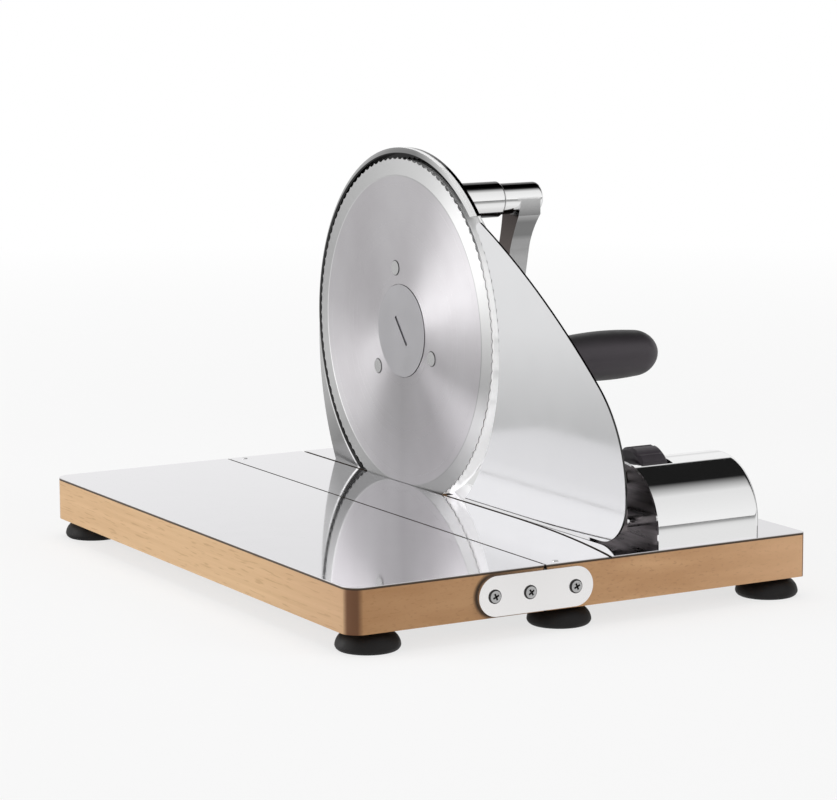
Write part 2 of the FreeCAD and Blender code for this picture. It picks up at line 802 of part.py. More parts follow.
def gear_flank(teeth, module, backlash):
    """Half of a tooth: radius and half angle at its root, at its pitch circle and at its tip."""
    pressure = math.radians(20)
    pitch = teeth * module / 2
    base = pitch * math.cos(pressure)
    half_pitch = math.pi / (2 * teeth) - backlash / (2 * pitch)
    spread = math.tan(pressure) - pressure

    def half_angle(radius):
        tilt = math.acos(min(1, base / radius))
        return half_pitch + spread - (math.tan(tilt) - tilt)
    root = pitch - 1.25 * module
    tip = pitch + module
    low = max(root, base * 1.001)
    middle = (low + tip) / 2
    return root, [(low, half_angle(low)), (middle, half_angle(middle)), (tip, half_angle(tip))]


def gear_face(teeth, module, backlash, phase):
    """The outline of a spur gear in the YZ plane, with a tooth's middle at the phase angle."""
    root, flank = gear_flank(teeth, module, backlash)

    def point(radius, angle):
        return FreeCAD.Vector(0, radius * math.cos(angle), radius * math.sin(angle))
    edges = []
    step = 2 * math.pi / teeth
    for tooth in range(teeth):
        middle = phase + tooth * step
        rising = [point(radius, middle - half) for radius, half in flank]
        falling = [point(radius, middle + half) for radius, half in reversed(flank)]
        foot_in = point(root, middle - flank[0][1])
        foot_out = point(root, middle + flank[0][1])
        next_in = point(root, middle + step - flank[0][1])
        undercut = flank[0][0] > root
        if undercut:
            edges.append(Part.makeLine(foot_in, rising[0]))
        edges.append(Part.Arc(*rising).toShape())
        edges.append(Part.Arc(rising[2], point(flank[2][0], middle), falling[0]).toShape())
        edges.append(Part.Arc(*falling).toShape())
        if undercut:
            edges.append(Part.makeLine(falling[2], foot_out))
        edges.append(Part.Arc(foot_out, point(root, middle + step / 2), next_in).toShape())
    return Part.Face(Part.Wire(edges))


def toothed_wheel(teeth, phase, start, width, centre):
    """A toothed disc of the module and backlash in the sheet."""
    face = gear_face(int(value(teeth)), value("gear_module"), value("gear_backlash"), phase)
    face.translate(FreeCAD.Vector(value(start), value(centre[0]), value(centre[1])))
    return built(face.extrude(FreeCAD.Vector(value(width), 0, 0)), "Teeth")


def blade_gear():
    """The large gear: a toothed rim on a web that lies on the blade's back, and a hub."""
    centre = ("blade_y", "blade_z")
    towards_pinion = math.radians(90 + value("crank_lean"))
    half_tooth = math.pi / value("gear_teeth")
    teeth = toothed_wheel("gear_teeth", towards_pinion + half_tooth, "gear_front_x",
                          "gear_face_width", centre)
    pitch = "gear_module * gear_teeth / 2"
    inside = f"{pitch} - 1.25 * gear_module - gear_rim_thickness"
    hollow = rod("X", inside, "gear_front_x - past", "gear_back_x + past", *centre)
    web = rod("X", f"{inside} + past", "blade_back_x", "blade_back_x + gear_web_thickness", *centre)
    hub = rod("X", "gear_hub_radius", "blade_back_x", "gear_hub_end_x", *centre)
    bore = rod("X", "axle_radius + running_clearance", "blade_back_x", "gear_hub_end_x + past",
               *centre)
    seat = rod("X", "blade_bore_radius", "blade_back_x - past", "axle_front_x - axle_front_gap / 2",
               *centre)
    middle = cut(fuse(web, hub), group(bore, *driver_rods()), seat)
    node("blade_gear", fuse(cut(teeth, hollow), middle))


def driver_rods():
    """The three shanks through the blade and the gear's web."""
    low = "blade_front_x - past"
    high = "blade_back_x + gear_web_thickness + past"
    return [rod("X", "rivet_shank_radius", low, high, *driver_place(number))
            for number in range(3)]


def driver_place(number):
    """Where a driver rivet stands: a third of a turn from the one before."""
    return polar("rivet_circle_radius", f"90 - rivet_angle - {number} * 120")


def crank_pinion():
    """The small gear on the crank shaft, with a hub behind its teeth."""
    centre = ("crank_y", "crank_z")
    towards_gear = math.radians(value("crank_lean") - 90)
    teeth = toothed_wheel("pinion_teeth", towards_gear, "gear_front_x", "gear_face_width", centre)
    hub = rod("X", "shaft_radius + pinion_hub_wall", "gear_back_x",
              "housing_inside_x - 2 * end_clearance", *centre)
    bore = rod("X", "shaft_radius", "gear_front_x - past", "housing_inside_x", *centre)
    node("crank_pinion", cut(fuse(teeth, hub), bore))


# Blade


def serrated_disc():
    """The blade's disc with a scalloped edge, as arcs between its points."""
    radius = value("blade_radius")
    count = int(value("serrations"))
    depth = value("serration_depth")
    step = 2 * math.pi / count

    def point(distance, angle):
        return FreeCAD.Vector(0, distance * math.cos(angle), distance * math.sin(angle))
    edges = [Part.Arc(point(radius, number * step), point(radius - depth, (number + 0.5) * step),
                      point(radius, (number + 1) * step)).toShape() for number in range(count)]
    face = Part.Face(Part.Wire(edges))
    face.translate(FreeCAD.Vector(value("blade_front_x"), value("blade_y"), value("blade_z")))
    return built(face.extrude(FreeCAD.Vector(value("blade_thickness"), 0, 0)), "Serrated")


def blade():
    """The blade: a ground bevel and the lock disc's recess in front, a bore and driver holes."""
    bevel = turned("X", [
        ("blade_front_x", "bevel_inner_radius"),
        ("blade_back_x - blade_edge_thickness", "blade_radius"),
        ("blade_back_x - blade_edge_thickness", "blade_radius + past"),
        ("blade_front_x - past", "blade_radius + past"),
        ("blade_front_x - past", "bevel_inner_radius"),
    ], ("blade_y", "blade_z"))
    bore = rod("X", "blade_bore_radius", "blade_front_x - past", "blade_back_x + past", "blade_y",
               "blade_z")
    recess = rod("X", "lock_radius + lock_recess_clearance", "blade_front_x - past", "lock_seat_x",
                 "blade_y", "blade_z")
    node("blade", cut(serrated_disc(), group(bevel, fuse(bore, recess), *driver_rods())))
    rivets = []
    for number in range(3):
        place_yz = driver_place(number)
        head = rod("X", "rivet_head_radius", "blade_front_x - rivet_head_height", "blade_front_x",
                   *place_yz)
        shank = rod("X", "rivet_shank_radius", "blade_front_x",
                    "blade_back_x + gear_web_thickness", *place_yz)
        rivets.append(fuse(head, shank))
    node("driver_rivets", group(*rivets))


def blade_lock_screw():
    """The disc that clamps the blade, almost flush: a coin slot and a shank in the gear's hub."""
    centre = ("blade_y", "blade_z")
    back = "lock_seat_x - running_clearance"
    front = f"{back} - lock_thickness"
    disc = rod("X", "lock_radius", front, back, *centre)
    shank = rod("X", "blade_bore_radius - end_clearance", back, "lock_end_x", *centre)
    slot = pad("YZ", f"{front} - past", f"{front} + lock_slot_depth", slot_outline(*centre))
    node("blade_lock_screw", cut(fuse(disc, shank), slot))


def slot_outline(y, z):
    """The coin slot as four corners, turned by its angle."""
    length, width = "lock_slot_length / 2", "lock_slot_width / 2"
    along, across = ("cos(lock_slot_angle)", "sin(lock_slot_angle)")
    corners = []
    for end, side in ((-1, -1), (1, -1), (1, 1), (-1, 1)):
        corners.append((
            f"{y} + {end} * {length} * {along} - {side} * {width} * {across}",
            f"{z} + {end} * {length} * {across} + {side} * {width} * {along}",
        ))
    return corners


def blade_axle():
    """The fixed axle of the blade, its nut behind the housing and the washer at the hub."""
    centre = ("blade_y", "blade_z")
    node("blade_axle", rod("X", "axle_radius", "axle_front_x", "axle_nut_end_x + axle_thread",
                           *centre))
    hexagon = [polar("axle_nut_radius", f"{number} * 60") for number in range(6)]
    nut = pad("YZ", "axle_boss_end_x", "axle_nut_end_x", hexagon)
    bore = rod("X", "axle_radius", "axle_boss_end_x - past", "axle_nut_end_x + past", *centre)
    node("axle_nut", cut(nut, bore))
    start = "gear_hub_end_x + end_clearance"
    ring = rod("X", "thrust_washer_radius", start, "housing_inside_x - end_clearance", *centre)
    hole = rod("X", "axle_radius + end_clearance", f"{start} - past", "housing_inside_x + past", *centre)
    node("thrust_washer", cut(ring, hole))


# Gear housing and guard


def housing_bowl():
    """The drum behind the blade, open towards it and cut off at the table."""
    bowl = turned("X", [
        ("housing_front_x", "housing_bore_radius"),
        ("housing_round_x", "housing_bore_radius", "-(housing_round - housing_wall)"),
        ("housing_inside_x", "housing_flat_radius"),
        ("housing_inside_x", "0"),
        ("housing_back_x", "0"),
        ("housing_back_x", "housing_flat_radius", "housing_round"),
        ("housing_round_x", "housing_radius"),
        ("housing_front_x", "housing_radius"),
    ], ("blade_y", "blade_z"))
    below = box(("housing_front_x - past", "housing_back_x + past"),
                ("blade_y - housing_radius", "blade_y + housing_radius"),
                ("table_top - housing_radius", "table_top"))
    return cut(bowl, below)


def crank_boss():
    """The long boss that carries the crank shaft."""
    return turned("X", [
        ("housing_inside_x", "0"),
        ("boss_end_x", "0"),
        ("boss_end_x", "boss_radius - boss_chamfer"),
        ("boss_end_x - boss_chamfer", "boss_radius"),
        ("housing_back_x + boss_root_length", "boss_radius"),
        ("housing_back_x", "boss_root_radius"),
        ("housing_inside_x", "boss_root_radius"),
    ], ("crank_y", "crank_z"))


def gusset(y):
    """A rib between the foot flange and the drum's back."""
    low, high = f"{y} - gusset_thickness / 2", f"{y} + gusset_thickness / 2"
    return pad("XZ", low, high, [
        ("housing_back_x - past", "table_top + past"),
        ("flange_end_x - gusset_inset", "table_top + past"),
        ("flange_end_x - gusset_inset", "flange_top"),
        ("housing_back_x", "flange_top + gusset_height"),
        ("housing_back_x - past", "flange_top + gusset_height"),
    ])


def gear_housing():
    """The drum with its boss, axle boss, foot flange and gussets, bored for what it holds."""
    axle_centre = ("blade_y", "blade_z")
    crank_centre = ("crank_y", "crank_z")
    axle_boss = rod("X", "axle_boss_radius", "housing_inside_x", "axle_boss_end_x", *axle_centre)
    flange = box(("housing_inside_x", "flange_end_x"),
                 ("blade_y - flange_half_length", "blade_y + flange_half_length"),
                 ("table_top", "flange_top"))
    ribs = [gusset(f"blade_y + {side} * gusset_y") for side in (-1, 1)]
    whole = fuse(housing_bowl(), crank_boss(), axle_boss, flange, *ribs)
    axle_bore = rod("X", "axle_radius", "housing_inside_x - past", "axle_boss_end_x + past",
                    *axle_centre)
    crank_bore = rod("X", "bush_radius", "housing_inside_x - past", "boss_end_x + past", *crank_centre)
    holes = [base_hole(x, y, "flange_top + past") for x, y in housing_screw_places()]
    node("gear_housing", cut(whole, axle_bore, crank_bore, *holes))


def housing_screw_places():
    """The four screws of the foot flange."""
    outer, inner = "(flange_half_length - flange_screw_inset)", "flange_inner_screw_y"
    return [("flange_end_x - flange_screw_inset", f"blade_y + {side} * {distance}")
            for distance in (outer, inner) for side in (-1, 1)]


def guard_screw_places():
    """The two screws of the guard's foot."""
    return [(f"guard_back_x + {distance}", "guard_foot_y") 
            for distance in ("guard_screw_near", "guard_screw_far")]


def bracket_screw_places():
    """The two screws of the wheel's bracket."""
    return [("wheel_start_x + wheel_width / 2", f"barrel_y + {side} * bracket_screw_spacing")
            for side in (-1, 1)]


def base_screw_places():
    """Every screw that goes down into the board."""
    return housing_screw_places() + guard_screw_places() + bracket_screw_places()


def base_screws(places, seat):
    """Round-headed screws that stand on a seat and go down into the board."""
    depth = f"(({seat}) - table_top + base_screw_depth)"
    return group(*[screw("Z", "base_screw_radius", "base_screw_head_radius",
                         "base_screw_head_height", seat, depth, x, y) for x, y in places])


def bushes():
    """Plain bushes at the two ends of the crank's boss."""
    centre = ("crank_y", "crank_z")
    spans = {
        "crank_bush_inner": ("housing_inside_x", "housing_inside_x + bush_length"),
        "crank_bush_outer": ("boss_end_x - bush_length", "boss_end_x"),
    }
    for label, (low, high) in spans.items():
        outside = rod("X", "bush_radius", low, high, *centre)
        bore = rod("X", "bush_bore_radius", f"{low} - past", f"{high} + past", *centre)
        node(label, cut(outside, bore))


def guard_outline():
    """The crescent: close round the blade's edge, flaring down the back to the table."""
    flare = polar("guard_outer_radius", "guard_flare_angle")
    tip_out = polar("guard_outer_radius", "guard_tip_angle")
    tip_in = polar("guard_inner_radius", "guard_tip_angle - guard_tip_slant")
    inner_middle = polar("guard_inner_radius", "guard_middle_angle")
    return [
        ("guard_inner_foot_y", "table_top"),
        ("guard_foot_outer_y", "table_top", "guard_flare_radius"),
        (*flare, "guard_outer_radius"),
        tip_out,
        (*tip_in, "-guard_inner_radius"),
        (*inner_middle, "-guard_inner_radius"),
    ]


def blade_guard():
    """The guard: crescent with a sloped face, a web on the drum and a foot on the table."""
    centre = ("blade_y", "blade_z")
    crescent = pad("YZ", "guard_front_x", "guard_back_x", guard_outline())
    lip = "guard_inner_radius + guard_lip"
    reach = "guard_reach"
    slope = turned("X", [
        ("guard_front_x", lip),
        (f"guard_front_x + guard_slope * ({reach} - ({lip}))", reach),
        ("guard_front_x - past", reach),
        ("guard_front_x - past", lip),
    ], centre)
    web = common(
        turned("X", [
            ("guard_back_x - guard_web_thickness", "housing_radius"),
            ("guard_back_x", "housing_radius"),
            ("guard_back_x", "guard_inner_radius + past"),
            ("guard_back_x - guard_web_thickness", "guard_inner_radius + past"),
        ], centre),
        pad("YZ", "guard_front_x", "guard_back_x", [
            centre,
            polar("guard_reach", "guard_web_start_angle"),
            polar("guard_reach", "guard_web_start_angle + guard_web_sector"),
            polar("guard_reach", "guard_web_end_angle - guard_web_sector"),
            polar("guard_reach", "guard_web_end_angle"),
        ]))
    foot_low, foot_high = "guard_foot_y - guard_foot_width / 2", "guard_foot_y + guard_foot_width / 2"
    foot_plate = box(("guard_back_x - guard_web_thickness", "guard_foot_end_x"),
                     (foot_low, foot_high), ("table_top", "table_top + guard_foot_thickness"))
    holes = [base_hole(x, y, "table_top + guard_foot_thickness + past")
             for x, y in guard_screw_places()]
    node("blade_guard", cut(fuse(cut(crescent, slope), web, foot_plate), *holes))


def fixings():
    """Screws of the housing, the guard and the bracket."""
    node("housing_screws", base_screws(housing_screw_places(), "flange_top"))
    node("guard_screws", base_screws(guard_screw_places(), "table_top + guard_foot_thickness"))
    node("bracket_screws", base_screws(bracket_screw_places(), "table_top + bracket_base_thickness"))


# Crank and grip


def arm_side():
    """The arm seen from the front: it leaves the hub thick and bends inward to the eye."""
    right = "hub_end_x - hub_round"
    knee = "crank_z - arm_knee_drop"
    return [
        ("hub_end_x - arm_top_thickness", "crank_z"),
        ("hub_end_x - arm_knee_in - arm_low_thickness", knee),
        ("eye_start_x", "eye_z + eye_radius"),
        ("eye_start_x", "eye_z"),
        ("eye_end_x", "eye_z"),
        ("eye_end_x", "eye_z + eye_radius"),
        ("hub_end_x - arm_knee_in", knee, "-arm_bend_radius"),
        (right, "crank_z - hub_radius"),
        (right, "crank_z"),
    ]


def arm_front():
    """The arm seen from its end: as wide as the hub at the neck, narrower from the knee down."""
    neck, knee = "crank_z - arm_neck_drop", "crank_z - arm_knee_drop"
    return [
        ("crank_y - arm_low_width / 2", "eye_z"),
        ("crank_y + arm_low_width / 2", "eye_z"),
        ("crank_y + arm_low_width / 2", knee, "-arm_taper_radius"),
        ("crank_y + hub_radius", neck),
        ("crank_y + hub_radius", "crank_z"),
        ("crank_y - hub_radius", "crank_z"),
        ("crank_y - hub_radius", neck, "-arm_taper_radius"),
        ("crank_y - arm_low_width / 2", knee),
    ]


def crank_arm():
    """The crank's hub, bent arm and eye in one piece."""
    hub_centre = ("crank_y", "crank_z")
    eye_centre = ("crank_y", "eye_z")
    strip = common(pad("XZ", "crank_y - 2 * hub_radius", "crank_y + 2 * hub_radius", arm_side()),
                   pad("YZ", "eye_start_x - past", "hub_end_x + past", arm_front()))
    hub = turned("X", [
        ("hub_start_x", "0"),
        ("hub_end_x", "0"),
        ("hub_end_x", "hub_radius - hub_round", "hub_round"),
        ("hub_end_x - hub_round", "hub_radius"),
        ("hub_start_x", "hub_radius"),
    ], hub_centre)
    eye = rod("X", "eye_radius", "eye_start_x", "eye_end_x", *eye_centre)
    shaft_bore = rod("X", "shaft_radius", "hub_start_x - past", "shaft_end_x", *hub_centre)
    eye_bore = rod("X", "spindle_radius", "eye_start_x - past", "eye_end_x + past", *eye_centre)
    node("crank_arm", cut(fuse(strip, hub, eye), shaft_bore, eye_bore, set_screw_rod()))
    node("crank_set_screw", common(set_screw_rod(), set_screw_limit()))


def set_screw_rod():
    """The set screw's axis, from the shaft out through the back of the hub."""
    return rod("Y", "set_screw_radius", "crank_y + shaft_radius - past", "crank_y + hub_radius + past",
               "hub_start_x + set_screw_from_start", "crank_z")


def set_screw_limit():
    """The ring between the shaft and the hub's surface, where the set screw lies."""
    outside = rod("X", "hub_radius - set_screw_sink", "hub_start_x", "hub_end_x", "crank_y",
                  "crank_z")
    shaft = rod("X", "shaft_radius", "hub_start_x - past", "hub_end_x + past", "crank_y", "crank_z")
    return cut(outside, shaft)


def crank_shaft():
    """The shaft through the boss, from the small gear into the crank's hub, and its washer."""
    centre = ("crank_y", "crank_z")
    node("crank_shaft", rod("X", "shaft_radius", "gear_front_x", "shaft_end_x", *centre))
    start, end = "boss_end_x + washer_gap", "hub_start_x - washer_gap"
    ring = rod("X", "boss_radius - boss_chamfer", start, end, *centre)
    hole = rod("X", "shaft_radius", f"{start} - past", f"{end} + past", *centre)
    node("crank_washer", cut(ring, hole))


def grip():
    """The turning grip on its spindle, closed by a small domed cap."""
    centre = ("crank_y", "eye_z")
    bore = "spindle_radius + running_clearance"
    node("crank_grip", turned("X", [
        ("grip_start_x", bore),
        ("grip_seat_x", bore),
        ("grip_seat_x", "grip_counterbore_radius"),
        ("grip_face_x", "grip_counterbore_radius"),
        ("grip_face_x", "grip_cap_radius", "grip_end_round"),
        ("grip_end_x - grip_radius", "grip_radius - grip_swell", "grip_belly_round"),
        ("grip_waist_x", "grip_radius - grip_swell"),
        ("grip_start_x", "grip_neck_radius"),
    ], centre))
    node("grip_end_cap", turned("X", [
        ("grip_face_x - grip_cap_plug", "0"),
        ("grip_end_x", "0", "grip_cap_round"),
        ("grip_face_x", "grip_cap_radius"),
        ("grip_face_x", "grip_counterbore_radius"),
        ("grip_face_x - grip_cap_plug", "grip_counterbore_radius"),
    ], centre))
    node("grip_spindle", turned("X", [
        ("eye_start_x", "0"),
        ("spindle_head_x + spindle_head_length", "0"),
        ("spindle_head_x + spindle_head_length", "spindle_head_radius"),
        ("spindle_head_x", "spindle_head_radius"),
        ("spindle_head_x", "spindle_radius"),
        ("eye_end_x + spindle_collar_length", "spindle_radius"),
        ("eye_end_x + spindle_collar_length", "spindle_collar_radius"),
        ("eye_end_x", "spindle_collar_radius"),
        ("eye_end_x", "spindle_radius"),
        ("eye_start_x", "spindle_radius"),
    ], centre))


# Stop plate and its slide


def stop_outline():
    """The stop plate: hollow towards the blade, with a long brow and a round nose in front."""
    corner = "stop_corner_radius"
    return [
        ("stop_inner_low_y", "stop_low", "-stop_inner_radius"),
        ("stop_inner_top_y", "stop_inner_top_z", "stop_tip_round"),
        ("stop_tip_y", "stop_tip_z", "stop_brow_radius"),
        ("barrel_y", "table_top + stop_brow_end_height", "stop_nose_radius"),
        ("stop_front_y", "table_top + stop_nose_height"),
        ("stop_front_y", f"stop_low + {corner}", corner),
        (f"stop_front_y + {corner}", "stop_low"),
    ]


def stop_plate():
    """The plate that the loaf's cut face rests on."""
    node("stop_plate", pad("YZ", "stop_x", "stop_back_x", stop_outline()))


def stop_carrier():
    """The bar welded behind the stop plate, with a lug for the spindle."""
    low, high = "table_top + carrier_low", "table_top + carrier_high"
    bar = box(("stop_back_x", "carrier_end_x"),
              ("barrel_y - carrier_half_length", "barrel_y + carrier_half_length"), (low, high))
    neck = box(("stop_back_x", "carrier_end_x"),
               ("wheel_y - carrier_lug_radius", "wheel_y + carrier_lug_radius"), (low, "wheel_z"))
    lug = rod("X", "carrier_lug_radius", "stop_back_x", "carrier_end_x", "wheel_y", "wheel_z")
    holes = [rod("X", "rod_radius", "stop_back_x - past", "carrier_end_x + past", *where)
             for where in rod_places()]
    holes.append(rod("X", "spindle_thread_radius", "stop_back_x - past", "carrier_end_x + past",
                     "wheel_y", "wheel_z"))
    node("stop_carrier", cut(fuse(bar, neck, lug), *holes))


def rod_places():
    """The guide rods: front and back."""
    return [(f"barrel_y + {side} * rod_spacing", "rod_z") for side in (-1, 1)]


def slide_rods():
    """Guide rods in their bushes, and the spindle that the wheel drives."""
    for label, where in zip(("front", "back"), rod_places()):
        node(f"guide_rod_{label}", rod("X", "rod_radius", "stop_back_x", "rod_end_x", *where))
        end = "barrel_left_x + rod_bush_length"
        outside = rod("X", "rod_bush_radius", "barrel_left_x", end, *where)
        bore = rod("X", "rod_radius + running_clearance", "barrel_left_x - past", f"{end} + past", *where)
        node(f"guide_bush_{label}", cut(outside, bore))
    node("adjuster_spindle", rod("X", "spindle_thread_radius", "stop_back_x", "spindle_end_x",
                                 "wheel_y", "wheel_z"))


# Barrel cover, wheel and bracket


def barrel_section(radius):
    """The cover's section: a half-round top on straight skirts down to the table."""
    return [
        (f"barrel_y - ({radius})", "table_top"),
        (f"barrel_y + ({radius})", "table_top"),
        (f"barrel_y + ({radius})", "barrel_z", radius),
        ("barrel_y", f"barrel_z + {radius}", radius),
        (f"barrel_y - ({radius})", "barrel_z"),
    ]


def barrel_form(radius, corner, start, end, low):
    """The half-round form of the cover, with skirts down to a height and a rounded right rim."""
    across = (f"barrel_y - {radius}", f"barrel_y + {radius}")
    drum = turned("X", [
        (start, "0"),
        (end, "0"),
        (end, f"{radius} - {corner}", corner),
        (f"{end} - {corner}", radius),
        (start, radius),
    ], ("barrel_y", "barrel_z"))
    upper = common(drum, box((start, end), across, ("barrel_z", f"barrel_z + {radius}")))
    skirts = pad("XY", low, "barrel_z", [
        (start, across[0]),
        (f"{end} - {corner}", across[0], corner),
        (end, f"{across[0]} + {corner}"),
        (end, f"{across[1]} - {corner}", corner),
        (f"{end} - {corner}", across[1]),
        (start, across[1]),
    ])
    return fuse(upper, skirts)


def barrel_screw_places():
    """Two screws on each of the cover's inner flanges."""
    across = "barrel_inner_radius - barrel_flange_width / 2"
    return [(f"barrel_flange_end_x - {distance}", f"barrel_y + {side} * ({across})")
            for distance in ("barrel_screw_near", "barrel_screw_far") for side in (-1, 1)]


def barrel_cover():
    """The sheet cover, closed at its right end, with inner flanges and the wheel's slot."""
    outside = barrel_form("barrel_radius", "barrel_end_round", "barrel_start_x", "barrel_end_x",
                          "table_top")
    inside = barrel_form("barrel_inner_radius", "(barrel_end_round - barrel_wall)",
                         "(barrel_start_x - past)", "barrel_inner_end_x", "table_top - past")
    span = ("barrel_flange_x", "barrel_flange_end_x")
    height = ("table_top", "table_top + barrel_wall")
    inner, middle = "barrel_flange_width", "barrel_wall / 2"
    front = box(span, (f"barrel_y - barrel_inner_radius - {middle}",
                       f"barrel_y - barrel_inner_radius + {inner}"), height)
    back = box(span, (f"barrel_y + barrel_inner_radius - {inner}",
                      f"barrel_y + barrel_inner_radius + {middle}"), height)
    slot = rod("X", "wheel_radius + wheel_clearance", "wheel_start_x - wheel_clearance",
               "wheel_end_x + wheel_clearance", "wheel_y", "wheel_z")
    holes = [barrel_hole(x, y) for x, y in barrel_screw_places()]
    node("barrel_cover", cut(fuse(cut(outside, inside), front, back), slot, *holes))
    seat = "(foot_height + barrel_screw_head_height)"
    node("barrel_screws", group(*[screw(
        "Z", "barrel_screw_radius", "barrel_screw_head_radius", "barrel_screw_head_height",
        seat, f"(table_top + barrel_wall - {seat})", x, y, outward=-1)
        for x, y in barrel_screw_places()]))


def barrel_end():
    """The flat plate in the cover's open end, which lets the rods and the spindle pass."""
    plate = pad("YZ", "barrel_left_x", "barrel_left_end_x", barrel_section("barrel_plate_radius"))
    holes = [rod("X", "rod_bush_radius", "barrel_left_x - past", "barrel_left_end_x + past", *where)
             for where in rod_places()]
    holes.append(rod("X", "spindle_thread_radius + spindle_hole_clearance", "barrel_left_x - past",
                     "barrel_left_end_x + past", "wheel_y", "wheel_z"))
    node("barrel_end_plate", cut(plate, *holes))


def adjuster_bracket():
    """A bent bracket: its two uprights keep the wheel in place along the spindle."""
    low, high = "barrel_y - bracket_half_length", "barrel_y + bracket_half_length"
    top = "barrel_z + bracket_radius"
    left = box(("barrel_left_end_x", "wheel_start_x - wheel_side_gap"), (low, high),
               ("table_top", top))
    right = box(("bracket_right_x", "bracket_end_x"), (low, high), ("table_top", top))
    floor = box(("barrel_left_end_x", "bracket_end_x"), (low, high),
                ("table_top", "table_top + bracket_base_thickness"))
    within = rod("X", "bracket_radius", "barrel_left_end_x - past", "bracket_end_x + past", "barrel_y",
                 "barrel_z")
    holes = [rod("X", "insert_radius + end_clearance", "barrel_left_end_x - past",
                 "bracket_end_x + past", "wheel_y", "wheel_z")]
    holes += [rod("X", "rod_bush_radius", "barrel_left_end_x - past", "bracket_end_x + past", *where)
              for where in rod_places()]
    holes += [base_hole(x, y, "table_top + bracket_base_thickness + past")
              for x, y in bracket_screw_places()]
    node("adjuster_bracket", cut(common(fuse(left, right, floor), within), *holes))


def thickness_wheel():
    """The fluted wheel and the threaded insert that turns on the spindle."""
    centre = ("wheel_y", "wheel_z")
    disc = turned("X", [
        ("wheel_start_x", "insert_radius"),
        ("wheel_end_x", "insert_radius"),
        ("wheel_end_x", "wheel_radius - wheel_chamfer"),
        ("wheel_end_x - wheel_chamfer", "wheel_radius"),
        ("wheel_start_x + wheel_chamfer", "wheel_radius"),
        ("wheel_start_x", "wheel_radius - wheel_chamfer"),
    ], centre)
    flutes = [rod("X", "wheel_flute_radius", "wheel_start_x - past", "wheel_end_x + past",
                  *polar("wheel_radius + wheel_flute_radius - wheel_flute_depth",
                         f"{number} * 360 / wheel_flutes", *centre))
              for number in range(int(value("wheel_flutes")))]
    node("thickness_wheel", cut(disc, *flutes))
    start = "insert_start_x + end_clearance"
    tube = rod("X", "insert_radius", start, "bracket_end_x", *centre)
    bore = rod("X", "spindle_thread_radius + running_clearance", f"{start} - past",
               "bracket_end_x + past", *centre)
    node("wheel_nut_insert", cut(tube, bore))


def check_and_export():
    """Stop if anything failed, then write each sub-part to its own file."""
    doc.recompute()
    for thing in doc.Objects:
        if "Invalid" in thing.State or "Error" in thing.State:
            raise RuntimeError(f"{thing.Label} of {thing.TypeId} failed: {thing.State}")
    os.makedirs("parts", exist_ok=True)
    for label, thing in nodes.items():
        shape = thing.Shape
        if shape.isNull() or not shape.isValid() or not shape.Solids:
            raise RuntimeError(f"{label} has no valid solid")
        shape.exportStep(f"parts/{label}.step")


def build():
    """Build every sub-part."""
    fill_sheet()
    leaf_board()
    machine_board()
    table_strip_plate()
    side_table_plate()
    feet()
    links()
    blade_gear()
    crank_pinion()
    blade()
    blade_lock_screw()
    blade_axle()
    gear_housing()
    bushes()
    blade_guard()
    fixings()
    crank_arm()
    crank_shaft()
    grip()
    stop_plate()
    stop_carrier()
    slide_rods()
    barrel_cover()
    barrel_end()
    adjuster_bracket()
    thickness_wheel()
    check_and_export()


build()
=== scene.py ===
"""Looks of the hand crank bread slicer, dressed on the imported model. Metres, Z up."""
import json
import math
import bmesh
import bpy
from mathutils import Matrix, Vector


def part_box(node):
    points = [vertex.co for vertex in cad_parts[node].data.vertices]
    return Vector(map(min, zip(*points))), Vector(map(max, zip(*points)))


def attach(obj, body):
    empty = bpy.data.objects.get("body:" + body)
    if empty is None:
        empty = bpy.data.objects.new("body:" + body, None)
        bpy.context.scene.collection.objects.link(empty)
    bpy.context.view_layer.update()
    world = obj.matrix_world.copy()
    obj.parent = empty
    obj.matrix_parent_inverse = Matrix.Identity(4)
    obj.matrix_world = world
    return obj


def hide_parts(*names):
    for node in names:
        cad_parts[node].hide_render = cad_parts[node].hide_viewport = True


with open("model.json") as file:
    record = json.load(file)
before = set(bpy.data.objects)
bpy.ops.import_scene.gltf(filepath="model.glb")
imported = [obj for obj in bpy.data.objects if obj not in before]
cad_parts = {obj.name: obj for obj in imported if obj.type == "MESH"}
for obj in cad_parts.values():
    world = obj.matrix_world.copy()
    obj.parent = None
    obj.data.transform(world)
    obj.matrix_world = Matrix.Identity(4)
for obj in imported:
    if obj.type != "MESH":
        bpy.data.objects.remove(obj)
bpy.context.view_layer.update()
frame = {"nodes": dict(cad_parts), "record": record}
scene = bpy.context.scene

MM = 0.001
WHITE = (1, 1, 1)
# Noise mostly runs between these values
NOISE_LOW = 0.3
NOISE_HIGH = 0.7

# Half the width of a sharp change of tone, and the width of a dark line where two pieces meet
SHARP = 0.1 * MM
SEAM_WIDTH = 0.5 * MM
# The guard: its front lip, painted pale as a highlight; the least and greatest distance of its
# inner edge from the blade's axis, painted black inside as shade; and the painted highlight line at
# the foot
GUARD_LIP_WIDTH = 2.7 * MM
GUARD_EDGE_NEAR = 97 * MM
GUARD_EDGE_FAR = 101 * MM
GUARD_FOOT_HIGHLIGHT = 1.4 * MM
# The housing's boss, measured from its right end
BOSS_LENGTH = 28.5 * MM
BOSS_RADIUS = 14 * MM
# The crank arm: its flat front starts this far along the hub, whose underside is this far down
ARM_FLAT_START = 10 * MM
HUB_DROP = 8.8 * MM
# The painted reflection on the arm's front changes between these heights from the hub's axis
ARM_LOW = -50 * MM
ARM_HIGH = 5 * MM
# The stop plate's painted reflections change its tone up to this height above its foot
STOP_RISE = 120 * MM
# How far from its right end the barrel cover turns down, where it has a line of painted shade
COVER_TURN = 1.9 * MM
# The table's outer edge is this wide. A sheet's edge that lies further in is a joint.
SHEET_RIM = 3.5 * MM
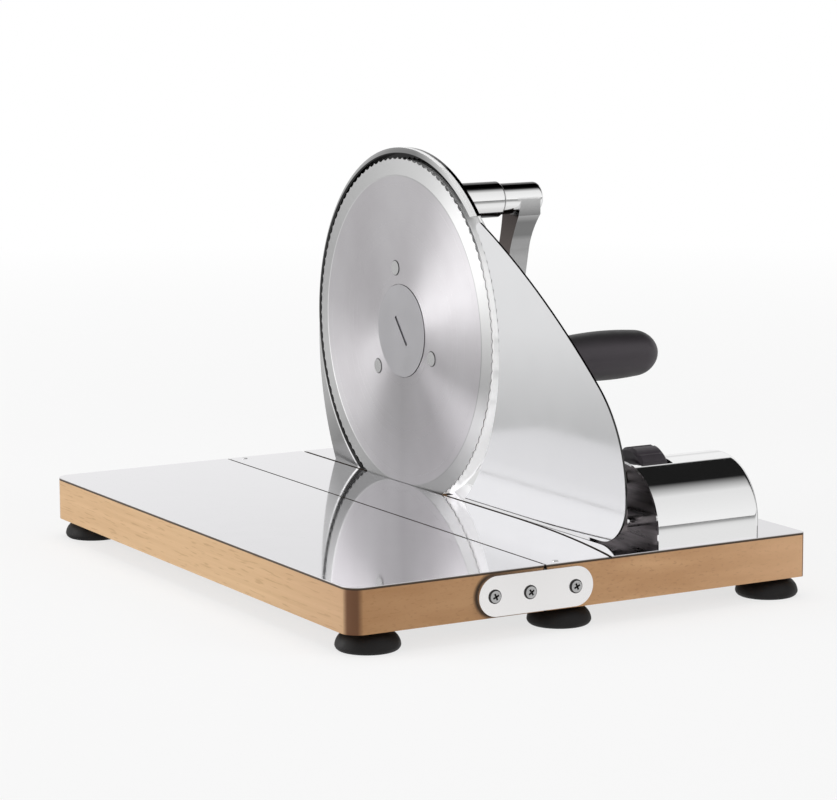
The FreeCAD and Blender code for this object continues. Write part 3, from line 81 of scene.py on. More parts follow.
# The blade's ground bevel and the fine line inside it, from the axis
BEVEL_RADIUS = 85.4 * MM
LINE_RADIUS = 84.6 * MM

BEVEL_SEGMENTS = 3
BEVEL_ANGLE = math.radians(40)
BEVEL_WIDTHS = {
    0.6 * MM: ("leaf_board", "machine_board"),
    0.3 * MM: ("leaf_table_plate", "table_strip_plate", "side_table_plate"),
    0.5 * MM: ("link_plate_front", "link_plate_back", "thickness_wheel"),
    0.9 * MM: ("crank_arm",),
}

# Screws in the boards' edges and on the table: radius and height of the head
EDGE_SCREW = (3.5 * MM, 1.2 * MM)
TABLE_SCREW = (3.8 * MM, 2.4 * MM)
# Each cross stands at its own angle
FIRST_TWIST = math.radians(25)
NEXT_TWIST = math.radians(50)
LATHE_STEPS = 40
DOME_STEPS = 6
SMOOTH_ANGLE = math.radians(35)

SHEET_TINT = (1, 0.99, 1.015)
STOP_TINT = (1, 1.003, 1.015)
WOOD_PALE = (0.72, 0.485, 0.275, 1)
WOOD_DEEP = (0.62, 0.395, 0.205, 1)
WOOD_STREAK = (0.60, 0.37, 0.19, 1)
WOOD_PORE = (0.42, 0.24, 0.115, 1)
# Painted shade toward the front end of the boards
WOOD_FRONT_SHADE = (0.50, 0.28, 0.16, 1)
END_PALE = (0.67, 0.40, 0.21, 1)
END_DEEP = (0.56, 0.315, 0.155, 1)
END_DOT = (0.40, 0.21, 0.10, 1)
# Painted shade on the left of the end grain, and painted light on its right
END_LEFT_SHADE = (0.34, 0.165, 0.06, 1)
END_RIGHT_LIGHT = (0.80, 0.50, 0.29, 1)
# Painted shade on the boards' rounded corner
WOOD_CORNER_SHADE = (0.17, 0.075, 0.033, 1)
WOOD_SHADE = (0.02, 0.014, 0.01, 1)

# How bright the studio is to dull surfaces, and half the floor's width
AMBIENT = 0.5
FLOOR_HALF = 15

CAMERA_PLACE = (-0.8519, -1.4586, 0.35385)
CAMERA_AZIMUTH = math.radians(-29.77)
CAMERA_ELEVATION = math.radians(8.97)
CAMERA_ROLL = math.radians(-0.28)
CAMERA_LENS = 137.345
CAMERA_SENSOR = 36


# Shader helpers


def add(tree, kind, inputs=None, **settings):
    """A shader node; an input is a plain value or another node's socket."""
    made = tree.nodes.new("ShaderNode" + kind)
    for name, value in settings.items():
        setattr(made, name, value)
    for name, value in (inputs or {}).items():
        if isinstance(value, bpy.types.NodeSocket):
            tree.links.new(value, made.inputs[name])
        else:
            made.inputs[name].default_value = value
    return made


def worked(tree, operation, first, second=0.0):
    """The result of one calculation with two numbers."""
    return add(tree, "Math", {0: first, 1: second}, operation=operation).outputs[0]


def most(tree, first, second):
    """The larger of two factors."""
    return worked(tree, "MAXIMUM", first, second)


def both(tree, first, second):
    """The product of two factors."""
    return worked(tree, "MULTIPLY", first, second)


def less(tree, first, second):
    """The first value less the second."""
    return worked(tree, "SUBTRACT", first, second)


def distance(tree, value, centre=0.0):
    """How far a value lies from a centre, either way."""
    return worked(tree, "ABSOLUTE", less(tree, value, centre))


def length_of(tree, vector):
    """The length of a vector."""
    return add(tree, "VectorMath", {0: vector}, operation="LENGTH").outputs["Value"]


def between(tree, factor, low, high, start=NOISE_LOW, end=NOISE_HIGH):
    """Map a factor's run from start to end onto low to high."""
    made = add(tree, "MapRange", {"Value": factor, "From Min": start, "From Max": end,
                                  "To Min": low, "To Max": high})
    return made.outputs["Result"]


def above(tree, value, start, end):
    """A mask that rises from 0 to 1 as a value goes from start to end."""
    return between(tree, value, 0, 1, start, end)


def below(tree, value, start, end):
    """A mask that falls from 1 to 0 as a value goes from start to end."""
    return between(tree, value, 1, 0, start, end)


def inverse(tree, mask):
    """A mask's opposite."""
    return below(tree, mask, 0, 1)


def mixed(tree, factor, first, second, blend="MIX"):
    """Mix two colours. A Mix node's sockets for colours are found by their numbers."""
    made = tree.nodes.new("ShaderNodeMix")
    made.data_type = "RGBA"
    made.blend_type = blend
    for socket, value in ((0, factor), (6, first), (7, second)):
        if isinstance(value, bpy.types.NodeSocket):
            tree.links.new(value, made.inputs[socket])
        else:
            made.inputs[socket].default_value = value
    return made.outputs[2]


def times(tree, first, second):
    """The product of two colours."""
    return mixed(tree, 1.0, first, second, "MULTIPLY")


def grey(level, tint=WHITE):
    """An opaque colour of one level, with a slight tint."""
    return tuple(level * part for part in tint) + (1,)


def ramp(tree, factor, stops):
    """Grey levels along a factor from 0 to 1, as (place, level) pairs."""
    made = add(tree, "ValToRGB", {"Fac": factor})
    elements = made.color_ramp.elements
    while len(elements) > 1:
        elements.remove(elements[-1])
    elements[0].position, elements[0].color = stops[0][0], grey(stops[0][1])
    for spot, level in stops[1:]:
        elements.new(spot).color = grey(level)
    return made.outputs["Color"]


def spread(tree, x, y, z):
    """The object's own coordinates in metres, scaled along each axis."""
    point = add(tree, "TexCoord").outputs["Object"]
    return add(tree, "Mapping", {"Vector": point, "Scale": (x, y, z)}).outputs["Vector"]


def noise(tree, vector, scale=1.0, detail=3.0, roughness=0.5):
    """Soft noise from 0 to 1."""
    made = add(tree, "TexNoise", {"Vector": vector, "Scale": scale, "Detail": detail,
                                  "Roughness": roughness})
    return made.outputs["Fac"]


def raised(tree, shader, height, strength, depth):
    """Give a shader a bump of this depth in metres."""
    bump = add(tree, "Bump", {"Height": height, "Strength": strength, "Distance": depth})
    tree.links.new(bump.outputs["Normal"], shader.inputs["Normal"])


def normal(tree, axis):
    """The surface's direction along an axis of the object, from -1 to 1."""
    return add(tree, "SeparateXYZ", {"Vector": add(tree, "TexCoord").outputs["Normal"]}).outputs[axis]


def facing(tree, axis):
    """How far the surface faces along an axis of the object either way, from 0 to 1."""
    return distance(tree, normal(tree, axis))


def edge_of(tree, axis):
    """A mask of the faces that look across an axis, such as the cut edge of a sheet."""
    return below(tree, facing(tree, axis), 0.3, 0.6)


def place(tree, centre=(0, 0, 0)):
    """The object's own coordinates in metres from a point, one socket for each axis."""
    point = add(tree, "TexCoord").outputs["Object"]
    moved = add(tree, "VectorMath", {0: point, 1: tuple(centre)}, operation="SUBTRACT").outputs[0]
    return add(tree, "SeparateXYZ", {"Vector": moved}).outputs


def reach(tree, parts):
    """The distance from the axis along X."""
    return length_of(tree, add(tree, "CombineXYZ", {"Y": parts["Y"], "Z": parts["Z"]}).outputs[0])


def turn_of(tree, parts):
    """The turn about the axis along X, 0.5 at the back, 0.75 at the top and 1 at the front."""
    return above(tree, worked(tree, "ARCTAN2", parts["Z"], parts["Y"]), -math.pi, math.pi)


def middle(node):
    """The middle of a node's box."""
    low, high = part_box(node)
    return (Vector(low) + Vector(high)) / 2


def new_material(name, values):
    """A material whose shader has these plain values, with its node tree and shader."""
    material = bpy.data.materials.new(name)
    material.use_nodes = True
    shader = material.node_tree.nodes["Principled BSDF"]
    for socket, value in values.items():
        shader.inputs[socket].default_value = value
    return material, material.node_tree, shader


def connect(tree, shader, inputs):
    """Link sockets to a shader's inputs."""
    for name, value in inputs.items():
        tree.links.new(value, shader.inputs[name])


# Plain metals


def metal(name, level, low, high, tint=WHITE, stretch=(60, 60, 60), depth=1.0):
    """A metal whose roughness wanders between low and high, and its tone down to depth."""
    material, tree, shader = new_material(name, {"Metallic": 1.0})
    cloud = noise(tree, spread(tree, *stretch))
    tone = mixed(tree, between(tree, cloud, 0, 1), grey(level * depth, tint),
                 grey(level * 1.02, tint))
    connect(tree, shader, {"Base Color": tone, "Roughness": between(tree, cloud, low, high)})
    return material


# Polished chrome, each kind with the painted reflections and painted shade that suit its form


def polished(name, paint, low=0.04, high=0.07):
    """Polished chrome. Paint gets the tree and a plain tone, and returns the shader's inputs."""
    material, tree, shader = new_material(name, {"Metallic": 1.0})
    cloud = noise(tree, spread(tree, 60, 60, 60))
    plain = mixed(tree, cloud, grey(0.83), grey(0.87))
    connect(tree, shader, {"Roughness": between(tree, cloud, low, high)})
    connect(tree, shader, paint(tree, plain))
    return material


def plain_chrome(tree, tone):
    """Chrome all over."""
    return {"Base Color": tone}


def round_bar(tree, level, seam):
    """A round bar with painted dark reflections, as of a dark ceiling, along its top and underside,
    and a dark seam.
    """
    up = normal(tree, "Z")
    # Painted reflection: the top and underside are painted near black.
    painted_reflection_bands = most(tree, above(tree, up, 0.70, 0.74), below(tree, up, -0.72, -0.62))
    return mixed(tree, seam, mixed(tree, painted_reflection_bands, grey(level), grey(0.015)), grey(0.03))


def guard_chrome(tree, tone):
    """Chrome whose painted reflections darken it from the tip to the foot, painted black as shade
    inside its inner edge, with a painted highlight on its front lip, painted shade behind that and a
    painted highlight line at the foot.
    """
    parts = place(tree, middle("blade"))
    turn = turn_of(tree, parts)
    far = reach(tree, parts)
    # Painted reflection: the tone darkens from the tip to the foot, most at the top.
    tone = times(tree, tone, ramp(tree, turn, (
        (0.38, 0.33), (0.42, 0.54), (0.47, 0.62), (0.54, 0.52), (0.68, 0.46), (0.73, 0.30),
        (0.77, 0.26), (0.81, 0.6), (0.84, 0.92), (0.88, 0.95))))
    # Painted highlight and shade on the outer edge: pale and not metallic at the front lip, near
    # black behind it.
    painted_rim = both(tree, edge_of(tree, "X"),
               below(tree, far, GUARD_EDGE_FAR, GUARD_EDGE_FAR + 5 * SHARP))
    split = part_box("blade_guard")[0][0] + GUARD_LIP_WIDTH - middle("blade")[0]
    back = above(tree, parts["X"], split - SHARP, split + SHARP)
    tone = mixed(tree, painted_rim, tone, mixed(tree, back, grey(0.9), grey(0.01)))
    # The radius inside which the guard is painted black as shade, by the turn about the axis.
    inner = between(tree, ramp(tree, turn, (
        (0.40, 0.68), (0.45, 0.70), (0.50, 0.80), (0.58, 0.64), (0.66, 0.40), (0.74, 0.14))),
        GUARD_EDGE_NEAR, GUARD_EDGE_FAR, 0, 1)
    past = less(tree, far, inner)
    # Painted highlight: a pale line just outside that radius at the foot.
    foot_highlight = both(tree, below(tree, turn, 0.42, 0.46),
                     below(tree, past, GUARD_FOOT_HIGHLIGHT - SHARP, GUARD_FOOT_HIGHLIGHT + SHARP))
    tone = mixed(tree, foot_highlight, tone, grey(0.95))
    # Painted shade: near black inside that radius.
    tone = mixed(tree, below(tree, past, -SHARP, SHARP), tone, grey(0.003))
    return {"Base Color": tone,
            "Metallic": inverse(tree, both(tree, painted_rim, inverse(tree, back))),
            "Roughness": between(tree, turn, 0.3, 0.05, 0.42, 0.50)}


def housing_chrome(tree, tone):
    """Chrome with its drum wall and front painted white and less metallic as a painted reflection, a
    painted glow on the drum's lower front, and a boss with painted dark reflections.
    """
    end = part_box("gear_housing")[1][0]
    along = place(tree)["X"]
    behind = above(tree, along, end - BOSS_LENGTH - SHARP, end - BOSS_LENGTH + SHARP)
    drum = below(tree, behind, 0.4, 0.6)
    from_crank = reach(tree, place(tree, middle("crank_shaft")))
    boss = both(tree, behind, below(tree, from_crank, BOSS_RADIUS, BOSS_RADIUS + 1 * MM))
    wall = both(tree, edge_of(tree, "X"), drum)
    front = both(tree, below(tree, normal(tree, "X"), -0.9, -0.6), drum)
    # Painted reflection: the drum's wall and front are painted white and made less metallic.
    pale = most(tree, wall, front)
    tone = mixed(tree, pale, tone, grey(0.93))
    # Painted glow: the drum's lower front glows a little, though it is no lamp.
    glow_zone = ramp(tree, turn_of(tree, place(tree, middle("blade"))), (
        (0.27, 1), (0.29, 0), (0.90, 0), (0.93, 1)))
    wall_glow = both(tree, wall, between(tree, normal(tree, "Z"), 0.5, 0.2, -0.7, -0.1))
    glow = both(tree, glow_zone, most(tree, wall_glow, both(tree, front, 0.5)))
    seam = above(tree, along, end - SEAM_WIDTH - SHARP, end - SEAM_WIDTH)
    return {"Base Color": mixed(tree, boss, tone, round_bar(tree, 0.94, seam)),
            "Metallic": between(tree, pale, 1.0, 0.15, 0, 1),
            "Emission Color": tone,
            "Emission Strength": glow}


def arm_below_hub(tree, height):
    """The arm's tone, painted light and shade: a painted reflection on its front that greys downward,
    painted shade on its side and painted dark reflections on its corners.
    """
    # Painted reflection: the front's tone changes with height.
    front = ramp(tree, above(tree, height, ARM_LOW, ARM_HIGH), (
        (0.0, 0.80), (0.33, 0.74), (0.50, 0.50), (0.55, 0.27), (0.68, 0.23), (0.76, 0.50),
        (0.82, 0.72), (0.90, 0.95)))
    # Painted shade: the side is dark, darkest near the hub.
    side = mixed(tree, above(tree, height, -40 * MM, -8 * MM),
                 grey(0.16, (1, 0.85, 0.8)), grey(0.05, (1, 0.8, 0.75)))
    tone = mixed(tree, above(tree, facing(tree, "X"), 0.5, 0.7), front, side)
    # Painted dark reflections on the rounded corners.
    flatness = most(tree, facing(tree, "X"), most(tree, facing(tree, "Y"), facing(tree, "Z")))
    return mixed(tree, below(tree, flatness, 0.86, 0.93), tone, grey(0.02))


def arm_chrome(tree, _):
    """A hub with painted dark reflections and a dark seam, and the arm below it with painted light
    and shade.
    """
    centre = middle("crank_shaft")
    parts = place(tree, centre)
    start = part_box("crank_arm")[0][0] - centre[0]
    flat_start = start + ARM_FLAT_START
    flat = both(tree, above(tree, facing(tree, "Y"), 0.985, 0.995),
                above(tree, parts["X"], flat_start, flat_start + 2 * SHARP))
    hub = both(tree, above(tree, parts["Z"], -HUB_DROP, -HUB_DROP + 5 * SHARP),
               inverse(tree, flat))
    seam = below(tree, parts["X"], start + SEAM_WIDTH, start + SEAM_WIDTH + SHARP)
    tone = mixed(tree, hub, arm_below_hub(tree, parts["Z"]), round_bar(tree, 0.96, seam))
    return {"Base Color": tone,
            "Roughness": between(tree, hub, 0.25, 0.06, 0, 1)}


def cover_chrome(tree, tone):
    """Chrome with a line of painted shade where the cover turns down at its far end."""
    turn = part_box("barrel_cover")[1][0] - COVER_TURN
    # Painted shade: a dark line along the turn.
    line = both(tree, below(tree, facing(tree, "X"), 0.9, 0.97),
                above(tree, place(tree)["X"], turn, turn + 3 * SHARP))
    return {"Base Color": mixed(tree, line, mixed(tree, 0.5, tone, grey(0.96)), grey(0.08))}


# Sheet steel


def outer_edge(tree, spot):
    """A mask of the whole table's outer edge, all sheets taken together."""
    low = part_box("leaf_table_plate")[0]
    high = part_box("machine_board")[1]
    across = distance(tree, spot["X"], (low[0] + high[0]) / 2)
    rim_x = (high[0] - low[0]) / 2 - SHEET_RIM
    rim_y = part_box("leaf_table_plate")[1][1] - SHEET_RIM
    return most(tree, above(tree, across, rim_x, rim_x + 2 * SHARP),
                above(tree, distance(tree, spot["Y"]), rim_y, rim_y + 2 * SHARP))


def table_steel():
    """Mirror sheet. Its joints are dark, and the lower half of its outer edge has painted shade."""
    material, tree, shader = new_material("table_steel", {"Metallic": 1.0})
    cloud = noise(tree, spread(tree, 60, 60, 60))
    tone = mixed(tree, cloud, grey(0.91, SHEET_TINT), grey(0.94, SHEET_TINT))
    cut = edge_of(tree, "Z")
    low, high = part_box("leaf_table_plate")
    spot = place(tree)
    lower = below(tree, spot["Z"], (low[2] + high[2]) / 2, high[2])
    joint = inverse(tree, outer_edge(tree, spot))
    joint_corner = both(tree, joint, below(tree, facing(tree, "Z"), 0.90, 0.985))
    # The joints are dark; the lower half of the outer cut edge is painted shade.
    dark = most(tree, both(tree, cut, most(tree, lower, joint)), joint_corner)
    connect(tree, shader, {
        "Base Color": mixed(tree, dark, tone, grey(0.10, (1, 0.75, 0.55))),
        "Roughness": most(tree, between(tree, cloud, 0.04, 0.07), both(tree, cut, 0.45))})
    return material


def stop_steel():
    """Polished sheet with painted shade on its cut edge, and painted reflections that make it a
    little darker at half its height.
    """
    material, tree, shader = new_material("stop_steel", {"Metallic": 1.0})
    cloud = noise(tree, spread(tree, 60, 60, 60))
    tone = mixed(tree, cloud, grey(0.80, STOP_TINT), grey(0.83, STOP_TINT))
    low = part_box("stop_plate")[0][2]
    # Painted reflection: the tone changes with height.
    level = ramp(tree, above(tree, place(tree)["Z"], low, low + STOP_RISE), (
        (0.0, 1.0), (0.10, 1.0), (0.22, 0.87), (0.38, 0.82), (0.55, 0.86), (0.8, 0.93)))
    tone = times(tree, times(tree, tone, grey(1.08)), level)
    connect(tree, shader, {
        # Painted shade on the cut edge.
        "Base Color": mixed(tree, edge_of(tree, "X"), tone, grey(0.06)),
        "Roughness": between(tree, cloud, 0.08, 0.12)})
    return material


# Wood


def side_grain(tree, grain):
    """Long grain with broad darker streaks and short pores."""
    broad = noise(tree, spread(tree, 30, 3, 60), detail=2.0)
    pores = noise(tree, spread(tree, 900, 70, 900), detail=1.0)
    tone = mixed(tree, between(tree, grain, 0, 1), WOOD_DEEP, WOOD_PALE)
    tone = mixed(tree, between(tree, broad, 0, 0.5, 0.4, 0.65), tone, WOOD_STREAK)
    return mixed(tree, between(tree, pores, 0, 0.45, 0.60, 0.70), tone, WOOD_PORE)


def end_grain(tree, spot):
    """Blotched and dotted, with painted shade on the left and painted light on the right."""
    blotch = noise(tree, spread(tree, 22, 60, 120), detail=3.0)
    dots = noise(tree, spread(tree, 350, 700, 900), detail=1.0)
    tone = mixed(tree, above(tree, blotch, 0.35, 0.65), END_DEEP, END_PALE)
    tone = mixed(tree, between(tree, dots, 0, 0.4, 0.58, 0.7), tone, END_DOT)
    # Painted shade on the left and painted light on the right.
    tone = mixed(tree, between(tree, spot["X"], 0.55, 0, -0.15, 0.02), tone, END_LEFT_SHADE)
    return mixed(tree, between(tree, spot["X"], 0, 0.6, 0.03, 0.12), tone, END_RIGHT_LIGHT)


def joint_shade(tree, spot):
    """Shade at the joint of the two boards and in the line below the sheets."""
    joint = (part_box("leaf_board")[1][0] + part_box("machine_board")[0][0]) / 2
    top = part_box("machine_board")[1][2]
    open_side = most(tree, edge_of(tree, "X"), above(tree, spot["Z"], top - 3 * MM, top - 2 * MM))
    near = below(tree, distance(tree, spot["X"], joint), 0.7 * MM, 1.6 * MM)
    return most(tree, both(tree, open_side, near),
                above(tree, spot["Z"], top - 0.5 * MM, top - 0.2 * MM))


def link_shade(tree, spot):
    """Shade on the boards' front and back round the left part of the link plates."""
    low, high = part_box("link_plate_front")
    radius = (high[2] - low[2]) / 2
    inward = add(tree, "Clamp", {"Value": spot["X"], "Min": low[0] + radius,
                                 "Max": high[0] - radius}).outputs[0]
    off = add(tree, "CombineXYZ", {"X": less(tree, spot["X"], inward),
                                   "Y": less(tree, spot["Z"], high[2] - radius)}).outputs[0]
    close = below(tree, length_of(tree, off), radius + 0.5 * MM, radius + 2.2 * MM)
    left_part = below(tree, spot["X"], low[0] + radius / 2, high[0] - radius)
    ends = between(tree, facing(tree, "Y"), 0, 0.9, 0.6, 0.8)
    return both(tree, close, both(tree, left_part, ends))


def wood():
    """Pale hardwood with its grain along Y and short dark pores, with painted shade toward the front
    end, on the end grain's left, at the rounded corner, in the joints and round the link plates, and
    painted light on the end grain's right.
    """
    material, tree, shader = new_material("wood_board", {"Specular IOR Level": 0.3})
    grain = noise(tree, spread(tree, 420, 7, 420), detail=4.0, roughness=0.6)
    spot = place(tree)
    tone = side_grain(tree, grain)
    # Painted shade toward the front end.
    tone = mixed(tree, between(tree, spot["Y"], 0.35, 0, -0.17, -0.08), tone, WOOD_FRONT_SHADE)
    tone = mixed(tree, above(tree, facing(tree, "Y"), 0.6, 0.8), tone, end_grain(tree, spot))
    # Painted shade on the rounded corner, where the faces look across both X and Y.
    corner = both(tree, facing(tree, "X"), facing(tree, "Y"))
    tone = mixed(tree, above(tree, corner, 0.18, 0.42), tone, WOOD_CORNER_SHADE)
    shade = most(tree, joint_shade(tree, spot), link_shade(tree, spot))
    connect(tree, shader, {
        "Base Color": mixed(tree, shade, tone, WOOD_SHADE),
        "Roughness": between(tree, grain, 0.45, 0.6)})
    raised(tree, shader, grain, 0.2, 0.1 * MM)
    return material


# Blade


def islands(node):
    """The lowest and highest corner of each separate solid of a node."""
    thing = frame["nodes"][node]
    mesh = bmesh.new()
    mesh.from_mesh(thing.data)
    mesh.transform(thing.matrix_world)
    bmesh.ops.remove_doubles(mesh, verts=mesh.verts, dist=0.002 * MM)
    left, found = set(mesh.verts), []
    while left:
        group, todo = [], [left.pop()]
        while todo:
            vertex = todo.pop()
            group.append(vertex.co.copy())
            for edge in vertex.link_edges:
                other = edge.other_vert(vertex)
                if other in left:
                    left.remove(other)
                    todo.append(other)
        found.append(([min(p[i] for p in group) for i in range(3)],
                      [max(p[i] for p in group) for i in range(3)]))
    mesh.free()
    return sorted(found)


def disc_tone_and_shade(tree, turn):
    """Satin steel, with painted light to the front and painted shade below."""
    cloud = noise(tree, spread(tree, 25, 25, 25))
    tone = mixed(tree, between(tree, cloud, 0, 1), grey(0.50, (1, 0.965, 1)),
                 grey(0.56, (1, 0.975, 1.005)))
    # Painted light and shade by the turn about the axis.
    level = ramp(tree, turn, (
        (0.0, 0.82), (0.12, 0.66), (0.25, 0.52), (0.38, 0.62), (0.5, 0.74), (0.75, 0.70),
        (0.88, 0.71), (1.0, 0.82)))
    return times(tree, times(tree, tone, grey(1 / 0.74)), level)


def rivet_shade_rings(tree, tone):
    """A ring of painted shade round each driver rivet."""
    for low, high in islands("driver_rivets"):
        centre = (Vector(low) + Vector(high)) / 2
        radius = (high[2] - low[2]) / 2
        off = reach(tree, place(tree, centre))
        ring = both(tree, above(tree, off, radius - 0.1 * MM, radius),
                    below(tree, off, radius + 0.35 * MM, radius + 0.6 * MM))
        tone = mixed(tree, ring, tone, grey(0.12))
    return tone


def blade_steel():
    """Satin steel ground in rings about the blade's axis, with a bevel and a fine line in it, each
    with painted light and shade by the turn.
    """
    material, tree, shader = new_material("blade_steel", {
        "Metallic": 1.0, "Anisotropic": 0.85, "Anisotropic Rotation": 0.25})
    parts = place(tree, middle("blade"))
    turn = turn_of(tree, parts)
    radius = reach(tree, parts)
    rings = noise(tree, add(tree, "CombineXYZ", {"X": radius}).outputs[0], scale=1800.0, detail=4.0)
    bevel = above(tree, radius, BEVEL_RADIUS, BEVEL_RADIUS + 0.4 * MM)
    # Painted light and shade on the bevel, by the turn about the axis.
    bevel_painted_light = ramp(tree, turn, (
        (0.0, 0.59), (0.12, 0.50), (0.25, 0.34), (0.38, 0.27), (0.5, 0.44), (0.62, 0.58),
        (0.75, 0.65), (1.0, 0.59)))
    tone = rivet_shade_rings(tree, mixed(tree, bevel, disc_tone_and_shade(tree, turn), bevel_painted_light))
    line = both(tree, above(tree, radius, LINE_RADIUS, LINE_RADIUS + 0.7 * MM), inverse(tree, bevel))
    # Painted light and shade on the fine line, by the turn about the axis.
    line_painted_light = ramp(tree, turn, (
        (0.0, 0.36), (0.25, 0.32), (0.34, 0.5), (0.42, 0.85), (0.55, 0.8), (0.68, 0.6),
        (0.8, 0.4), (1.0, 0.36)))
    tangent = add(tree, "Tangent", direction_type="RADIAL", axis="X")
    connect(tree, shader, {
        "Base Color": mixed(tree, line, tone, line_painted_light),
        "Roughness": mixed(tree, bevel, between(tree, rings, 0.26, 0.36), grey(0.5)),
        "Tangent": tangent.outputs["Tangent"]})
    raised(tree, shader, rings, 0.12, 0.02 * MM)
    return material


# Plastics and rubber


def dull(name, colour, low, high, values=None, shaded=False):
    """A plastic or rubber with a fine skin, black on top and below where it is shaded."""
    material, tree, shader = new_material(name, values or {})
    cloud = noise(tree, spread(tree, 120, 120, 120))
    tone = mixed(tree, cloud, tuple(0.85 * part for part in colour) + (1,),
                 tuple(min(1, 1.2 * part) for part in colour) + (1,))
    if shaded:
        tone = mixed(tree, between(tree, facing(tree, "Z"), 0, 0.85, 0.45, 0.9), tone, grey(0.0))
    connect(tree, shader, {"Base Color": tone, "Roughness": between(tree, cloud, low, high)})
    skin = noise(tree, spread(tree, 2500, 2500, 2500), detail=1.0)
    raised(tree, shader, skin, 0.1, 0.03 * MM)
    return material


# What each slot, and each node that differs from its slot, is made of
MATERIALS = {
    "wood_board": wood(),
    "table_steel": table_steel(),
    "blade_steel": blade_steel(),
    "stop_steel": stop_steel(),
    "polished_chrome": polished("polished_chrome", plain_chrome),
    "link_steel": metal("link_steel", 0.96, 0.24, 0.28, (1, 0.985, 0.98), (12, 12, 12), 0.96),
    "screw_steel": metal("screw_steel", 0.48, 0.2, 0.3),
    "plain_steel": metal("plain_steel", 0.58, 0.25, 0.35),
    "bearing_brass": metal("bearing_brass", 0.42, 0.2, 0.3, (1, 0.76, 0.38)),
    "gear_plastic": dull("gear_plastic", (0.82, 0.80, 0.74), 0.4, 0.5),
    "black_rubber": dull("black_rubber", (0.006, 0.005, 0.005), 0.5, 0.65,
                         {"Specular IOR Level": 0.3}),
    "black_plastic": dull("black_plastic", (0.032, 0.026, 0.032), 0.42, 0.5),
}
SHADED_STEEL = metal("shaded_steel", 0.28, 0.2, 0.45, (1, 0.9, 0.93), (40, 25, 260), 0.2)
# Painted shade for the screws' head edges and cross recesses
RECESS_SHADE = metal("recess", 0.06, 0.3, 0.5, (1, 0.95, 0.95), depth=0.5)
NODE_MATERIALS = {
    "blade_guard": polished("guard_chrome", guard_chrome),
    "gear_housing": polished("housing_chrome", housing_chrome),
    "crank_arm": polished("arm_chrome", arm_chrome),
    "barrel_cover": polished("cover_chrome", cover_chrome),
    "crank_grip": dull("grip_plastic", (0.04, 0.033, 0.04), 0.42, 0.5, shaded=True),
    "blade_lock_screw": metal("lock_steel", 0.40, 0.30, 0.36, (1, 0.985, 1.02)),
    "guide_rod_front": MATERIALS["polished_chrome"],
    "guide_rod_back": MATERIALS["polished_chrome"],
    "barrel_end_plate": SHADED_STEEL,
    "adjuster_bracket": SHADED_STEEL,
    "stop_carrier": SHADED_STEEL,
    "guide_bush_front": SHADED_STEEL,
    "guide_bush_back": SHADED_STEEL,
}


def dress_nodes():
    """Give each carried-over node its material, and some of them softer edges."""
    for part in frame["record"]["subparts"]:
        mesh = frame["nodes"][part["node"]].data
        mesh.materials.clear()
        slot = part["material_slot"]
        mesh.materials.append(NODE_MATERIALS.get(part["node"], MATERIALS[slot]))
    for width, nodes in BEVEL_WIDTHS.items():
        for node in nodes:
            bevel = frame["nodes"][node].modifiers.new("edges", "BEVEL")
            bevel.width = width
            bevel.segments = BEVEL_SEGMENTS
            bevel.limit_method = "ANGLE"
            bevel.angle_limit = BEVEL_ANGLE
            bevel.harden_normals = True


# Screws with a cross recess


def screw_profile(head, head_height, length):
    """A domed screw's (radius, depth, mark) corners from the top down. Mark 1 is the head's edge,
    painted dark as shade.
    """
    shank = 0.5 * head
    dome = []
    for step in range(DOME_STEPS):
        share = step / DOME_STEPS
        dome.append((head * share, 0.35 * head_height * share ** 2, 0))
    # Painted shade: the head's edge takes the dark material.
    painted_rim = [(head * 0.93, 0.42 * head_height, 1), (head, 0.7 * head_height, 1),
           (head, head_height, 1)]
    return dome + painted_rim + [(shank, head_height, 0), (shank, length, 0), (0, length, 0)]


def lathe(mesh, profile, turn):
    """Turn (radius, depth, mark) corners about a placement's Z. A mark is the material's number."""
    rings = []
    for radius, depth, mark in profile:
        ring = []
        for number in range(LATHE_STEPS):
            angle = 2 * math.pi * number / LATHE_STEPS
            point = Vector((radius * math.cos(angle), radius * math.sin(angle), -depth))
            ring.append(mesh.verts.new(turn @ point))
        rings.append((ring, mark))
    for (first, _), (second, mark) in zip(rings, rings[1:]):
        for number in range(LATHE_STEPS):
            after = (number + 1) % LATHE_STEPS
            face = mesh.faces.new((first[number], second[number], second[after], first[after]))
            face.material_index = mark


def cross(mesh, size, depth, turn):
    """Two crossed bars, narrower at the bottom, that sink into a screw's head."""
    levels = ((0.5 * size, 0.66 * size, 0.19 * size), (-depth, 0.42 * size, 0.11 * size))
    for quarter in (0, 1):
        twist = turn @ Matrix.Rotation(quarter * math.pi / 2, 4, "Z")
        corners = []
        for level, length, width in levels:
            for x, y in ((-1, -1), (1, -1), (1, 1), (-1, 1)):
                corners.append(mesh.verts.new(twist @ Vector((x * length, y * width, level))))
        mesh.faces.new(corners[3::-1])
        mesh.faces.new(corners[4:])
        for side in range(4):
            after = (side + 1) % 4
            mesh.faces.new((corners[side], corners[after], corners[after + 4], corners[side + 4]))


def mesh_object(name, mesh, materials):
    """An object from mesh code with its materials."""
    data = bpy.data.meshes.new(name)
    bmesh.ops.remove_doubles(mesh, verts=mesh.verts, dist=0.001 * MM)
    bmesh.ops.recalc_face_normals(mesh, faces=mesh.faces)
    mesh.to_mesh(data)
    mesh.free()
    for material in materials:
        data.materials.append(material)
    thing = bpy.data.objects.new(name, data)
    scene.collection.objects.link(thing)
    return thing


